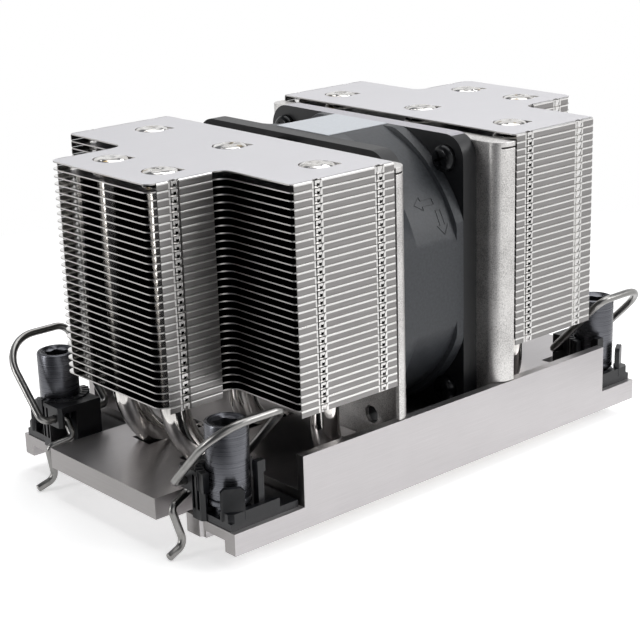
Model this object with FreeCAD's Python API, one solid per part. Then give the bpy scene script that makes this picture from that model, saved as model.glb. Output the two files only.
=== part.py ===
import FreeCAD, Part
import math
import os

# A two-tower cooler for a server processor: an aluminium base with side walls, five U-shaped heat
# pipes, two stacks of folded fins, a 60 mm fan held between two steel brackets, and at each corner a
# captive load nut in a plastic carrier with a sprung anti-tilt wire.
# Frame: millimetres, +Z up, X along the air flow, origin in the middle of the contact face.

Vector = FreeCAD.Vector

# ---------------------------------------------------------------- base block
END_X = 58.4              # end of the corner platforms
SIDE_Y = 36.3             # outer face of the side walls
TONGUE_END_X = 63.2
TONGUE_SIDE_Y = 18.2
TONGUE_BOTTOM = 3.2
DECK_TOP = 7.6
BLOCK_BOTTOM = 1.2        # top of the contact plate
BLOCK_END_X = 52.0
PLATFORM_TOP = 4.5
PLATFORM_BOTTOM = 2.4
WALL_TOP = 15.0
WALL_THICKNESS = 1.9
WALL_LEFT_X = -41.2
WALL_RIGHT_X = 47.5
SKIRT_THICKNESS = 3.1
NOTCH_SIDE_Y = 21.5       # the notch between tongue and platform reaches out to here
NOTCH_END_X = 52.0
BOSS_BOTTOM = 0.5
BOSS_Y = (21.5, 26.8)
BOSS_LENGTH = 7.0
STUD_HOLE_RADIUS = 2.3

# ---------------------------------------------------------------- contact plate
PLATE_HALF_LENGTH = 46.0
PLATE_HALF_WIDTH = 31.0

# ---------------------------------------------------------------- fin towers
FIN_COUNT = 30            # in each tower, with the top one
FIN_THICKNESS = 0.4
FIN_PITCH = 1.5
TOP_Z = 67.6              # upper face of the top fin
TOWER_FACE_X = 17.0       # side towards the fan
TOWER_SHOULDER_X = 42.6   # end of the wide part
TOWER_END_X = 59.2        # end of the narrow part
TOWER_NARROW_Y = 16.7
FIN_CORNER = 1.6
LIP_THICKNESS = 0.4
LIP_GAP = 0.03

# ---------------------------------------------------------------- heat pipes
PIPE_RADIUS = 3.0
PIPE_SIDES = 8            # flats that stand for the round of a pipe
PIPE_FLAT = PIPE_RADIUS * math.sqrt(math.pi / (PIPE_SIDES * math.tan(math.pi / PIPE_SIDES)))
PIPE_DOME = 1.3           # height of the closed tip
PIPE_FIT = 0.03
PIPE_Z = BLOCK_BOTTOM + PIPE_FLAT
PIPE_BEND = 12.0          # inner row
PIPE_WIDE_BEND = 18.0     # outer row
PIPE_BEND_STEP = 18.0     # degrees in each straight step of a bend
PIPE_SIDE_BEND = 15.0
INNER_ROW_X = 27.0
INNER_ROW_Y = 26.5
OUTER_ROW_X = 50.2
OUTER_ROW_Y = 8.1
CHANNEL_Y = 16.6          # outer channels of the base
CHANNEL_START_X = 6.0
PIPE_TIP_RISE = 0.5       # how far the domes stand above the top fin

# ---------------------------------------------------------------- fan
FAN_SIZE = 60.0
FAN_DEPTH = 25.0
FAN_X = 0.6               # middle of the fan
FAN_Z = 37.7
FAN_FLANGE = 3.9
FAN_CORNER = 5.0
FAN_HOLE_SPACING = 50.0
FAN_HOLE_RADIUS = 2.2
DUCT_OUTER = 31.2
DUCT_INNER = 28.9
MOTOR_CUP_RADIUS = 13.0
MOTOR_CUP_DEPTH = 3.0
STRUT_WIDTH = 2.6
STRUT_COUNT = 4
HUB_RADIUS = 13.0
HUB_WALL = 1.2
HUB_LENGTH = 18.5
BLADE_COUNT = 7
BLADE_TIP = 28.2
BLADE_THICKNESS = 1.2
SHAFT_RADIUS = 1.5
SHAFT_CLEARANCE = 0.03
BEARING_RADIUS = 3.0
BEARING_TUBE_RADIUS = 4.0
STATOR_RADIUS = 10.2
MAGNET_INNER = 10.6
LABEL_THICKNESS = 0.12
SCREW_HEAD_RADIUS = 3.3
SCREW_RADIUS = 1.7

# ---------------------------------------------------------------- fan brackets
SHEET = 1.0
BRACKET_BEND = 3.5
BRACKET_TOP = 66.4
BRACKET_OPENING = 28.9
BRACKET_GAP = 0.15        # solder gap between bracket and fins
CORNER_RELIEF = 1.6

# ---------------------------------------------------------------- load nuts and carriers
NUT_X = 53.4
NUT_Y = 28.8
NUT_RADIUS = 4.25
NUT_TOP = 24.0
NUT_BOTTOM = PLATFORM_TOP + 0.2
NUT_SHOULDER = 9.0
NUT_CHAMFER = 0.4
NUT_NECK_RADIUS = 3.4
NUT_CLEARANCE = 0.05
SOCKET_RADIUS = 2.8
SOCKET_DEPTH = 7.0
SOCKET_LOBES = 6
THREAD_RADIUS = 1.8
THREAD_DEPTH = 9.0
RING_RADIUS = 4.3
RING_THICKNESS = 0.9
FLOOR_THICKNESS = 1.5
CARRIER_END_X = 59.1
CARRIER_INNER_Y = 20.4
BLOCK_OUTER_Y = 27.9
BLOCK_TOP = 14.3
PLATE_END_X = 48.9
JOURNAL_END_X = 52.0       # end of the wire in the block
GROOVES_Y = ((24.9, 25.6), (26.2, 26.9))
COLLAR_INNER = NUT_RADIUS + 0.3
COLLAR_OUTER = NUT_RADIUS + 1.8
COLLAR_Z = (10.6, 14.6)
TRAY_WALL = 1.2
TRAY_TOP = 7.8
TRAY_INNER_X = 46.3
LATCH_X = 49.0
LATCH_Y = 32.4
LATCH_TOP = 16.0
TAB_REACH = 5.0           # from the nut's axis to the tab
TAB_HALF_WIDTH = 2.3
TAB_TOP = 12.4
TAB_TURN = 58.0           # degrees about the nut's axis
CARRIER_INSET = 1.2       # from the side wall's outer face to the lip

# ---------------------------------------------------------------- anti-tilt wires
WIRE_RADIUS = 0.8
WIRE_SIDES = 6            # flats that stand for the round of the wire
WIRE_BEND = 2.6
HINGE_Y = 22.6
HINGE_Z = 11.6
BAIL_Y = 36.8
BAIL_Z = 26.2
BAIL_INNER_X = 45.8
BAIL_OUTER_X = 62.0
JOURNAL_CLEARANCE = 0.1
WIRE_BEND_STEP = 30.0     # degrees in each straight step of a bend
ROUND_SIDES = 16          # flats that stand for the round of a small turned part


def box(x, y, z):
    """A box from its lowest and highest values along each axis."""
    low = Vector(min(x), min(y), min(z))
    return Part.makeBox(max(x) - low.x, max(y) - low.y, max(z) - low.z, low)


def cylinder(radius, start, end):
    axis = end - start
    return Part.makeCylinder(radius, axis.Length, start, axis)


def prism(points, bottom, top):
    """An upright prism on a list of X, Y corners."""
    corners = [Vector(x, y, bottom) for x, y in points]
    face = Part.Face(Part.makePolygon(corners + corners[:1]))
    return face.extrude(Vector(0, 0, top - bottom))


def fuse_all(solids):
    return solids[0].multiFuse(solids[1:]).removeSplitter()


def mirrored(shape, sign_x, sign_y):
    """Carries a shape from the +X +Y corner to another one."""
    if sign_x < 0:
        shape = shape.mirror(Vector(0, 0, 0), Vector(1, 0, 0))
    if sign_y < 0:
        shape = shape.mirror(Vector(0, 0, 0), Vector(0, 1, 0))
    return shape


def flat_sided(radius, sides, centre_x=0.0, centre_y=0.0):
    """Corners of a regular outline with the area of a circle, with a flat towards +X."""
    corner = radius * math.sqrt(2 * math.pi / (sides * math.sin(2 * math.pi / sides)))
    angles = [2 * math.pi * (k + 0.5) / sides for k in range(sides)]
    return [(centre_x + corner * math.cos(a), centre_y + corner * math.sin(a)) for a in angles]


def bend_corners(before, corner, after, radius, step):
    """A bend as the corners of short straight steps that touch its arc from outside."""
    back = (before - corner).normalize()
    ahead = (after - corner).normalize()
    turn = math.pi - back.getAngle(ahead)
    count = max(1, math.ceil(math.degrees(turn) / step - 0.2))
    centre = corner + (back + ahead).normalize() * (radius / math.cos(turn / 2))
    spoke = corner + back * (radius * math.tan(turn / 2)) - centre
    spoke = spoke * (1 / math.cos(turn / count / 2))
    angles = [math.degrees(turn * (k + 0.5) / count) for k in range(count)]
    return [centre + FreeCAD.Rotation(ahead.cross(back), angle).multVec(spoke) for angle in angles]


def bent_bar(points, bends, radius, sides, step, taper=0.0):
    """A bar swept along straight runs and bends, with a mitre at each step of a bend and tapered ends."""
    route = [points[0]]
    for before, corner, after, bend in zip(points, points[1:], points[2:], bends):
        route += bend_corners(before, corner, after, bend, step)
    route.append(points[-1])
    corners = [Vector(x, y, 0) for x, y in flat_sided(radius, sides)]
    section = Part.makePolygon(corners + corners[:1])
    turn = FreeCAD.Rotation(points[2] - points[1], Vector(0, 0, 0), points[1] - points[0], "ZXY")
    section.Placement = FreeCAD.Placement(points[0], turn)
    return swept(section, route, taper)


def swept(section, route, taper):
    """A flat-faced solid swept along a route: each run ends on the plane that halves its corner."""
    along = (route[1] - route[0]).normalize()
    ring = [vertex.Point for vertex in section.OrderedVertexes]
    rings = [tapered(ring, route[0], taper), [p + along * taper for p in ring]] if taper else [ring]
    for before, here, after in zip(route, route[1:], route[2:]):
        along = (here - before).normalize()
        halving = along + (after - here).normalize()
        ring = [p + along * (halving.dot(here - p) / halving.dot(along)) for p in ring]
        rings.append(ring)
    along = (route[-1] - route[-2]).normalize()
    ring = [p + along * along.dot(route[-1] - p) for p in ring]
    rings += [[p - along * taper for p in ring], tapered(ring, route[-1], taper)] if taper else [ring]
    faces = [Part.Face(Part.makePolygon(end + end[:1])) for end in (rings[0], rings[-1])]
    for low, high in zip(rings, rings[1:]):
        for k in range(len(low)):
            side = [low[k - 1], low[k], high[k], high[k - 1], low[k - 1]]
            faces.append(Part.Face(Part.makePolygon(side)))
    shell = Part.Shell(faces)
    if Part.Solid(shell).Volume < 0:
        shell.reverse()
    return Part.Solid(shell)


def tapered(ring, centre, taper):
    """A ring drawn in towards its centre by a fixed amount, for the eased end of a bar."""
    return [centre + (p - centre) * (1 - taper / (p - centre).Length) for p in ring]


# ---------------------------------------------------------------- heat pipes
def pipe_path(leg_x, leg_y, channel_y, foot_bend):
    """Up one tower, through the base and up the other, as points with their bend radii."""
    top = TOP_Z + PIPE_TIP_RISE
    points = [Vector(-leg_x, leg_y, top), Vector(-leg_x, leg_y, PIPE_Z)]
    bends = [foot_bend]
    if channel_y != leg_y:
        points.append(Vector(-CHANNEL_START_X, channel_y, PIPE_Z))
        points.append(Vector(CHANNEL_START_X, channel_y, PIPE_Z))
        bends += [PIPE_SIDE_BEND, PIPE_SIDE_BEND]
    points += [Vector(leg_x, leg_y, PIPE_Z), Vector(leg_x, leg_y, top)]
    bends.append(foot_bend)
    return points, bends


PIPES = [
    pipe_path(INNER_ROW_X, -INNER_ROW_Y, -CHANNEL_Y, PIPE_BEND),
    pipe_path(OUTER_ROW_X, -OUTER_ROW_Y, -OUTER_ROW_Y, PIPE_WIDE_BEND),
    pipe_path(INNER_ROW_X, 0, 0, PIPE_BEND),
    pipe_path(OUTER_ROW_X, OUTER_ROW_Y, OUTER_ROW_Y, PIPE_WIDE_BEND),
    pipe_path(INNER_ROW_X, INNER_ROW_Y, CHANNEL_Y, PIPE_BEND),
]


def heat_pipe(points, bends):
    """A bent pipe whose closed tips taper in."""
    return bent_bar(points, bends, PIPE_RADIUS, PIPE_SIDES, PIPE_BEND_STEP, PIPE_DOME)


# ---------------------------------------------------------------- base
def base_block():
    """The milled base: deck with tongues, corner platforms, side walls and their skirts."""
    deck = box((WALL_LEFT_X, WALL_RIGHT_X), (-SIDE_Y, SIDE_Y), (BLOCK_BOTTOM, DECK_TOP))
    spine = box((-BLOCK_END_X, BLOCK_END_X), (-TONGUE_SIDE_Y, TONGUE_SIDE_Y), (BLOCK_BOTTOM, DECK_TOP))
    tongue = box((-TONGUE_END_X, TONGUE_END_X), (-TONGUE_SIDE_Y, TONGUE_SIDE_Y), (TONGUE_BOTTOM, DECK_TOP))
    platform = box((-END_X, END_X), (-SIDE_Y, SIDE_Y), (PLATFORM_BOTTOM, PLATFORM_TOP))
    solids = [deck, spine, tongue, platform]
    for side in (-1, 1):
        outer = side * SIDE_Y
        inner = side * (SIDE_Y - WALL_THICKNESS)
        skirt = side * (SIDE_Y - SKIRT_THICKNESS)
        solids.append(box((WALL_LEFT_X, WALL_RIGHT_X), (inner, outer), (0, WALL_TOP)))
        solids.append(box((-END_X, END_X), (skirt, outer), (0, PLATFORM_TOP)))
        for end in (-1, 1):
            solids.append(box((end * (END_X - BOSS_LENGTH), end * END_X),
                              (side * BOSS_Y[0], side * BOSS_Y[1]), (BOSS_BOTTOM, PLATFORM_TOP)))
    block = fuse_all(solids)
    return block.cut(Part.makeCompound(base_cuts())).removeSplitter()


def pipe_channel(points, bends):
    """The milled channel of one pipe: straight slots from below, and a curved way out for each leg."""
    half = PIPE_FLAT + PIPE_FIT
    bottom, top = BLOCK_BOTTOM - 1, PIPE_Z + half
    floor = [points[1]]
    for k in range(2, len(points) - 2):
        floor += bend_corners(points[k - 1], points[k], points[k + 1], bends[k - 1], PIPE_BEND_STEP)
    floor.append(points[-2])
    cuts = []
    for start, end in zip(floor, floor[1:]):
        run = end - start
        slot = box((0, run.Length), (-half, half), (bottom, top))
        slot.rotate(Vector(0, 0, 0), Vector(0, 0, 1), math.degrees(math.atan2(run.y, run.x)))
        slot.translate(Vector(start.x, start.y, 0))
        cuts.append(slot)
    for corner in floor[1:-1]:
        cuts.append(prism(flat_sided(half * 1.01, ROUND_SIDES, corner.x, corner.y), bottom, top))
    limits = [leg_end(floor[0], floor[1], bends[0]), leg_end(floor[-1], floor[-2], bends[-1])]
    slots = fuse_all(cuts).cut(Part.makeCompound([outside for outside, way_out in limits]))
    return [slots] + [way_out for outside, way_out in limits]


def leg_end(corner, towards, bend):
    """Where a leg turns up: the block that its slot stays out of, and the curved way that it takes."""
    half = PIPE_FLAT + PIPE_FIT
    outside = box((-bend, half + 1), (-2 * half, 2 * half), (BLOCK_BOTTOM - 2, DECK_TOP + 1))
    reach = (bend + PIPE_FLAT) / math.cos(math.radians(PIPE_BEND_STEP / 2)) + PIPE_FIT
    wheel = cylinder(reach, Vector(-bend, -half, PIPE_Z + bend), Vector(-bend, half, PIPE_Z + bend))
    way_out = wheel.common(box((-bend, half), (-half, half), (0, DECK_TOP + 1)))
    inward = towards - corner
    angle = math.degrees(math.atan2(-inward.y, -inward.x))
    for shape in (outside, way_out):
        shape.rotate(Vector(0, 0, 0), Vector(0, 0, 1), angle)
        shape.translate(Vector(corner.x, corner.y, 0))
    return outside, way_out


def base_cuts():
    """Notches, stud holes, edge grooves and the channels that the heat pipes lie in."""
    cuts = [cut for points, bends in PIPES for cut in pipe_channel(points, bends)]
    middle = (TONGUE_SIDE_Y + NOTCH_SIDE_Y) / 2
    radius = (NOTCH_SIDE_Y - TONGUE_SIDE_Y) / 2
    below, above = -1.0, DECK_TOP + 1.0
    for sign_x in (-1, 1):
        for sign_y in (-1, 1):
            notch = box((NOTCH_END_X, END_X + 1), (TONGUE_SIDE_Y, NOTCH_SIDE_Y), (below, above))
            notch = notch.fuse(cylinder(radius, Vector(NOTCH_END_X, middle, below),
                                        Vector(NOTCH_END_X, middle, above)))
            stud = cylinder(STUD_HOLE_RADIUS, Vector(NUT_X, NUT_Y, below), Vector(NUT_X, NUT_Y, above))
            groove = cylinder(0.9, Vector(END_X + 0.3, BOSS_Y[1] - 0.4, below),
                              Vector(END_X + 0.3, BOSS_Y[1] - 0.4, above))
            cuts += [mirrored(shape, sign_x, sign_y) for shape in (notch, stud, groove)]
    return cuts


def contact_plate():
    plate = box((-PLATE_HALF_LENGTH, PLATE_HALF_LENGTH), (-PLATE_HALF_WIDTH, PLATE_HALF_WIDTH),
                (0, BLOCK_BOTTOM))
    return plate.makeFillet(4.0, [edge for edge in plate.Edges if abs(edge.tangentAt(0).z) > 0.9])


# ---------------------------------------------------------------- fins
def fin_outline(clip):
    """T-shaped plan of a fin of the right tower, with its outer corners clipped."""
    half = [
        (TOWER_FACE_X, SIDE_Y - clip),
        (TOWER_FACE_X + clip, SIDE_Y),
        (TOWER_SHOULDER_X - clip, SIDE_Y),
        (TOWER_SHOULDER_X, SIDE_Y - clip),
        (TOWER_SHOULDER_X, TOWER_NARROW_Y),
        (TOWER_END_X - clip, TOWER_NARROW_Y),
        (TOWER_END_X, TOWER_NARROW_Y - clip),
    ]
    half = [point for k, point in enumerate(half) if k == 0 or point != half[k - 1]]
    return half + [(x, -y) for x, y in reversed(half)]


def pipe_legs():
    """Where the five pipes stand in the right tower, and the way that each one bends at its foot."""
    legs = []
    for points, bends in PIPES:
        foot, towards = points[-2], points[-3]
        legs.append((foot.x, foot.y, math.atan2(foot.y - towards.y, foot.x - towards.x)))
    return legs


def square_hole(centre_x, centre_y, angle, bottom, top):
    """A pipe's hole in a lower fin, which holds it on four sides."""
    hole = box((-PIPE_FLAT, PIPE_FLAT), (-PIPE_FLAT, PIPE_FLAT), (bottom, top))
    hole.rotate(Vector(0, 0, 0), Vector(0, 0, 1), math.degrees(angle))
    hole.translate(Vector(centre_x, centre_y, 0))
    return hole


def folded_fin(clip):
    """One fin of the right tower with its plate on top and its side lips folded down."""
    depth = FIN_PITCH - LIP_GAP
    pieces = [prism(fin_outline(clip), depth - FIN_THICKNESS, depth)]
    wide = (TOWER_FACE_X + clip, TOWER_SHOULDER_X - clip)
    narrow = (TOWER_SHOULDER_X + LIP_THICKNESS, TOWER_END_X - clip)
    for side in (-1, 1):
        pieces.append(box(wide, (side * SIDE_Y, side * (SIDE_Y - LIP_THICKNESS)), (0, depth)))
        inside = side * (TOWER_NARROW_Y - LIP_THICKNESS)
        pieces.append(box(narrow, (side * TOWER_NARROW_Y, inside), (0, depth)))
    return fuse_all(pieces)


def fin_stack(sign_x):
    """Every fin of a tower below the top one."""
    holes = [square_hole(x, y, angle, 0, FIN_PITCH) for x, y, angle in pipe_legs()]
    fin = folded_fin(0.0).cut(Part.makeCompound(holes))
    lowest = TOP_Z - FIN_COUNT * FIN_PITCH
    fins = []
    for level in range(FIN_COUNT - 1):
        copy = fin.copy()
        copy.translate(Vector(0, 0, lowest + level * FIN_PITCH))
        fins.append(mirrored(copy, sign_x, 1))
    return Part.makeCompound(fins)


def teardrop(centre_x, centre_y, bottom, top):
    """The pipe hole of a top fin: round, with a small tail for the solder."""
    radius = PIPE_RADIUS + 0.5
    angles = [math.radians(5 + 310 * k / 11) for k in range(12)]
    points = [(radius * math.cos(a), radius * math.sin(a)) for a in angles]
    tail = (radius + 1.3) * math.cos(math.radians(-20)), (radius + 1.3) * math.sin(math.radians(-20))
    hole = prism(points + [tail], bottom, top)
    hole.rotate(Vector(0, 0, 0), Vector(0, 0, 1), -25)
    hole.translate(Vector(centre_x, centre_y, 0))
    return hole


def top_fin(sign_x):
    """The closing fin, whose flat face is the top of the tower."""
    depth = FIN_PITCH - LIP_GAP
    fin = mirrored(folded_fin(FIN_CORNER), sign_x, 1)
    holes = [teardrop(sign_x * x, y, -1, depth + 1) for x, y, angle in pipe_legs()]
    fin = fin.cut(Part.makeCompound(holes))
    fin.translate(Vector(0, 0, TOP_Z - depth))
    return fin


# ---------------------------------------------------------------- fan
FAN_LEFT = FAN_X - FAN_DEPTH / 2
FAN_RIGHT = FAN_X + FAN_DEPTH / 2
FAN_HALF = FAN_SIZE / 2


def along_x(shape):
    """Turns a shape built around Z, from 0 upwards, to lie around the fan's axis from its left face."""
    shape.rotate(Vector(0, 0, 0), Vector(0, 1, 0), 90)
    shape.translate(Vector(FAN_LEFT, 0, FAN_Z))
    return shape


def disc(radius, start, end, hole=0.0):
    """A round piece on the fan's axis, from start to end behind its left face."""
    solid = Part.makeCylinder(radius, end - start, Vector(0, 0, start))
    if hole:
        solid = solid.cut(Part.makeCylinder(hole, end - start, Vector(0, 0, start)))
    return solid


def eight_sided(radius, centre_x, centre_y, bottom, top):
    """A small hole as an eight-sided prism."""
    return prism(flat_sided(radius, 8, centre_x, centre_y), bottom, top)


def screw_places():
    half = FAN_HOLE_SPACING / 2
    return [(y, z) for y in (-half, half) for z in (-half, half)]


def fan_frame():
    """Moulded frame: two flanges, a duct cut flat on four sides, struts and the motor seat."""
    square = box((-FAN_HALF, FAN_HALF), (-FAN_HALF, FAN_HALF), (0, FAN_DEPTH))
    corners = [edge for edge in square.Edges if abs(edge.tangentAt(0).z) > 0.9]
    envelope = square.makeFillet(FAN_CORNER, corners)
    between = disc(2 * FAN_SIZE, FAN_FLANGE, FAN_DEPTH - FAN_FLANGE, DUCT_OUTER)
    frame = envelope.cut(between).cut(disc(DUCT_INNER, 0, FAN_DEPTH))
    for start, end in ((0, FAN_FLANGE), (FAN_DEPTH - FAN_FLANGE, FAN_DEPTH)):
        holes = [eight_sided(FAN_HOLE_RADIUS, y, z, start, end) for y, z in screw_places()]
        frame = frame.cut(Part.makeCompound(holes))
    cup_start = FAN_DEPTH - MOTOR_CUP_DEPTH
    pieces = [frame, disc(MOTOR_CUP_RADIUS, cup_start, FAN_DEPTH)]
    pieces.append(disc(BEARING_TUBE_RADIUS, FAN_DEPTH - HUB_LENGTH, cup_start + 0.5))
    for k in range(STRUT_COUNT):
        strut = box((-STRUT_WIDTH / 2, STRUT_WIDTH / 2), (MOTOR_CUP_RADIUS - 1, DUCT_INNER + 0.6),
                    (cup_start, FAN_DEPTH))
        strut.rotate(Vector(0, 0, 0), Vector(0, 0, 1), 45 + k * 360 / STRUT_COUNT)
        pieces.append(strut)
    frame = fuse_all(pieces)
    return along_x(frame.cut(disc(BEARING_RADIUS, FAN_DEPTH - HUB_LENGTH - 1, FAN_DEPTH - 1.2)))


def blade_section(radius, chord, pitch_angle, lean):
    """A flat blade section in the plane at one radius, as a closed wire."""
    half, thin = chord / 2, BLADE_THICKNESS / 2
    along = (math.sin(pitch_angle), math.cos(pitch_angle))
    across = (math.cos(pitch_angle), -math.sin(pitch_angle))
    middle = FAN_DEPTH - MOTOR_CUP_DEPTH - 1.0 - HUB_LENGTH / 2
    corners = []
    for a, b in ((-half, -thin), (half, -thin), (half, thin), (-half, thin)):
        tangent = a * along[0] + b * across[0] + lean
        axial = a * along[1] + b * across[1]
        corners.append(Vector(tangent, radius, middle + axial))
    return Part.makePolygon(corners + corners[:1])


def fan_rotor():
    """Impeller: a cup-shaped hub with twisted blades."""
    hub_end = FAN_DEPTH - MOTOR_CUP_DEPTH - 1.0
    hub_start = hub_end - HUB_LENGTH
    cup = disc(HUB_RADIUS - HUB_WALL, hub_start + 1.6, hub_end)
    hub = prism(flat_sided(HUB_RADIUS, 28), hub_start, hub_end)
    sections = [
        blade_section(HUB_RADIUS - 0.7, 17.0, math.radians(38), 0.0),
        blade_section(BLADE_TIP + 0.4, 20.0, math.radians(58), 4.0),
    ]
    blade = Part.makeLoft(sections, True, True)
    pieces = [hub]
    for k in range(BLADE_COUNT):
        copy = blade.copy()
        copy.rotate(Vector(0, 0, 0), Vector(0, 0, 1), k * 360 / BLADE_COUNT)
        pieces.append(copy)
    limits = prism(flat_sided(BLADE_TIP, 28), hub_start, hub_end)
    rotor = fuse_all(pieces).common(limits)
    return along_x(rotor.cut(cup).cut(disc(SHAFT_RADIUS, hub_start + 0.6, hub_end)))


def fan_shaft():
    hub_start = FAN_DEPTH - MOTOR_CUP_DEPTH - 1.0 - HUB_LENGTH
    return along_x(disc(SHAFT_RADIUS, hub_start + 0.6, FAN_DEPTH - 1.6))


def fan_magnet():
    hub_end = FAN_DEPTH - MOTOR_CUP_DEPTH - 1.0
    return along_x(disc(HUB_RADIUS - HUB_WALL, hub_end - 11.0, hub_end - 0.5, MAGNET_INNER))


def fan_bearing():
    return along_x(disc(BEARING_RADIUS, FAN_DEPTH - HUB_LENGTH, FAN_DEPTH - 2.2,
                        SHAFT_RADIUS + SHAFT_CLEARANCE))


def fan_stator():
    """Four wound poles on the bearing tube."""
    start, end = FAN_DEPTH - 14.0, FAN_DEPTH - 6.5
    pieces = [disc(BEARING_TUBE_RADIUS + 2.0, start, end)]
    rim = disc(STATOR_RADIUS, start + 1, end - 1, STATOR_RADIUS - 1.2)
    for k in range(4):
        pole = box((-1.4, 1.4), (3, STATOR_RADIUS - 0.8), (start + 1, end - 1))
        winding = box((-2.4, 2.4), (BEARING_TUBE_RADIUS + 1.5, STATOR_RADIUS - 1.6), (start, end))
        shoe = rim.common(box((-5.0, 5.0), (0, STATOR_RADIUS + 1), (start, end)))
        arm = fuse_all([pole, winding, shoe])
        arm.rotate(Vector(0, 0, 0), Vector(0, 0, 1), 90 * k)
        pieces.append(arm)
    core = fuse_all(pieces)
    return along_x(core.cut(disc(BEARING_TUBE_RADIUS, start - 1, end + 1)))


def fan_circuit_board():
    board_end = FAN_DEPTH - MOTOR_CUP_DEPTH
    return along_x(disc(HUB_RADIUS - 2.0, board_end - 1.0, board_end, BEARING_TUBE_RADIUS))


def fan_label():
    """Blank paper label on the flat top of the duct."""
    half_width = math.sqrt(DUCT_OUTER ** 2 - FAN_HALF ** 2) - 0.4
    top = FAN_Z + FAN_HALF
    return box((FAN_LEFT + FAN_FLANGE + 0.2, FAN_RIGHT - FAN_FLANGE - 0.2), (-half_width, half_width),
               (top, top + LABEL_THICKNESS))


def fan_screws():
    """Four pan-head screws through the right flange into its bracket."""
    screws = []
    start = FAN_DEPTH - FAN_FLANGE
    for y, z in screw_places():
        outlines = []
        for radius, height in ((SCREW_HEAD_RADIUS - 0.8, start - 1.9), (SCREW_HEAD_RADIUS, start - 1.1)):
            corners = [Vector(y, z, height) + Vector(a, b, 0) for a, b in flat_sided(radius, 12)]
            outlines.append(Part.makePolygon(corners + corners[:1]))
        crown = Part.makeLoft(outlines, True, True)
        head = prism(flat_sided(SCREW_HEAD_RADIUS, 12, y, z), start - 1.1, start)
        shank = prism(flat_sided(SCREW_RADIUS, 8, y, z), start, FAN_DEPTH + SHEET + 0.9)
        screws.append(fuse_all([crown, head, shank]))
    return along_x(Part.makeCompound(screws))


# ---------------------------------------------------------------- brackets
def fan_bracket(web_face, tower_face):
    """Folded steel tray: a web against the fan with three edges folded back to the fins."""
    side = 1 if tower_face > web_face else -1
    back = tower_face - side * BRACKET_GAP
    outer = box((web_face, back), (-SIDE_Y, SIDE_Y), (DECK_TOP, BRACKET_TOP))
    outer = outer.makeFillet(BRACKET_BEND, upright_edges(outer, web_face))
    inner = box((web_face + side * SHEET, back + side), (-SIDE_Y + SHEET, SIDE_Y - SHEET),
                (DECK_TOP - 1, BRACKET_TOP - SHEET))
    inner = inner.makeFillet(BRACKET_BEND - SHEET, upright_edges(inner, web_face + side * SHEET))
    tray = outer.cut(inner)
    span = (web_face - side, back + side)
    opening = cylinder(BRACKET_OPENING, Vector(span[0], 0, FAN_Z), Vector(span[1], 0, FAN_Z))
    cuts = [opening]
    for sign in (-1, 1):
        cuts.append(box(span, (sign * (SIDE_Y - WALL_THICKNESS - 0.2), sign * (SIDE_Y + 1)),
                        (DECK_TOP - 1, WALL_TOP + 0.2)))
        cuts.append(box((web_face + side * (SHEET + 0.4), back + side),
                        (sign * (SIDE_Y - 4.0), sign * (SIDE_Y + 1)),
                        (BRACKET_TOP - SHEET - CORNER_RELIEF, BRACKET_TOP - SHEET)))
    for y, z in screw_places():
        hole = eight_sided(SCREW_RADIUS * 1.09, 0, 0, 0, abs(span[1] - span[0]))
        hole.rotate(Vector(0, 0, 0), Vector(0, 1, 0), 90)
        hole.translate(Vector(min(span), y, FAN_Z + z))
        cuts.append(hole)
    return tray.cut(Part.makeCompound(cuts)).removeSplitter()


def upright_edges(solid, face_x):
    """The upright edges of a box on the plane x = face_x."""
    found = []
    for edge in solid.Edges:
        bounds = edge.BoundBox
        on_face = abs(bounds.XMin - face_x) < 1e-6 and abs(bounds.XMax - face_x) < 1e-6
        if on_face and bounds.ZLength > 1:
            found.append(edge)
    return found


# ---------------------------------------------------------------- corner hardware, +X +Y corner
def on_nut_axis(z):
    return Vector(NUT_X, NUT_Y, z)


def load_nut():
    """Turned nut post: barrel with a six-lobe socket, a neck and a threaded bore below."""
    def outline(radius, height):
        corners = [Vector(x, y, height) for x, y in flat_sided(radius, ROUND_SIDES, NUT_X, NUT_Y)]
        return Part.makePolygon(corners + corners[:1])
    neck = prism(flat_sided(NUT_NECK_RADIUS, ROUND_SIDES, NUT_X, NUT_Y), NUT_BOTTOM, NUT_SHOULDER)
    edge = NUT_TOP - NUT_CHAMFER
    barrel = prism(flat_sided(NUT_RADIUS, ROUND_SIDES, NUT_X, NUT_Y), NUT_SHOULDER, edge)
    crown = Part.makeLoft([outline(NUT_RADIUS, edge), outline(NUT_RADIUS - NUT_CHAMFER, NUT_TOP)], True, True)
    lobes = []
    for k in range(2 * SOCKET_LOBES):
        radius = SOCKET_RADIUS if k % 2 == 0 else 0.76 * SOCKET_RADIUS
        angle = math.pi * k / SOCKET_LOBES
        lobes.append((NUT_X + radius * math.cos(angle), NUT_Y + radius * math.sin(angle)))
    socket = prism(lobes, NUT_TOP - SOCKET_DEPTH, NUT_TOP)
    bore = Part.makeCylinder(THREAD_RADIUS, THREAD_DEPTH, on_nut_axis(NUT_BOTTOM))
    return fuse_all([neck, barrel, crown]).cut(socket).cut(bore)


def retaining_ring():
    """Split spring ring clipped on the neck, just above the carrier's floor."""
    bottom = PLATFORM_TOP + FLOOR_THICKNESS + 0.05
    outer = [math.radians(20 + 320 * k / 12) for k in range(13)]
    inner_radius = NUT_NECK_RADIUS + 0.16
    outline = [(RING_RADIUS * math.cos(a), RING_RADIUS * math.sin(a)) for a in outer]
    outline += [(inner_radius * math.cos(a), inner_radius * math.sin(a)) for a in reversed(outer)]
    return prism([(NUT_X + x, NUT_Y + y) for x, y in outline], bottom, bottom + RING_THICKNESS)


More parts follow.
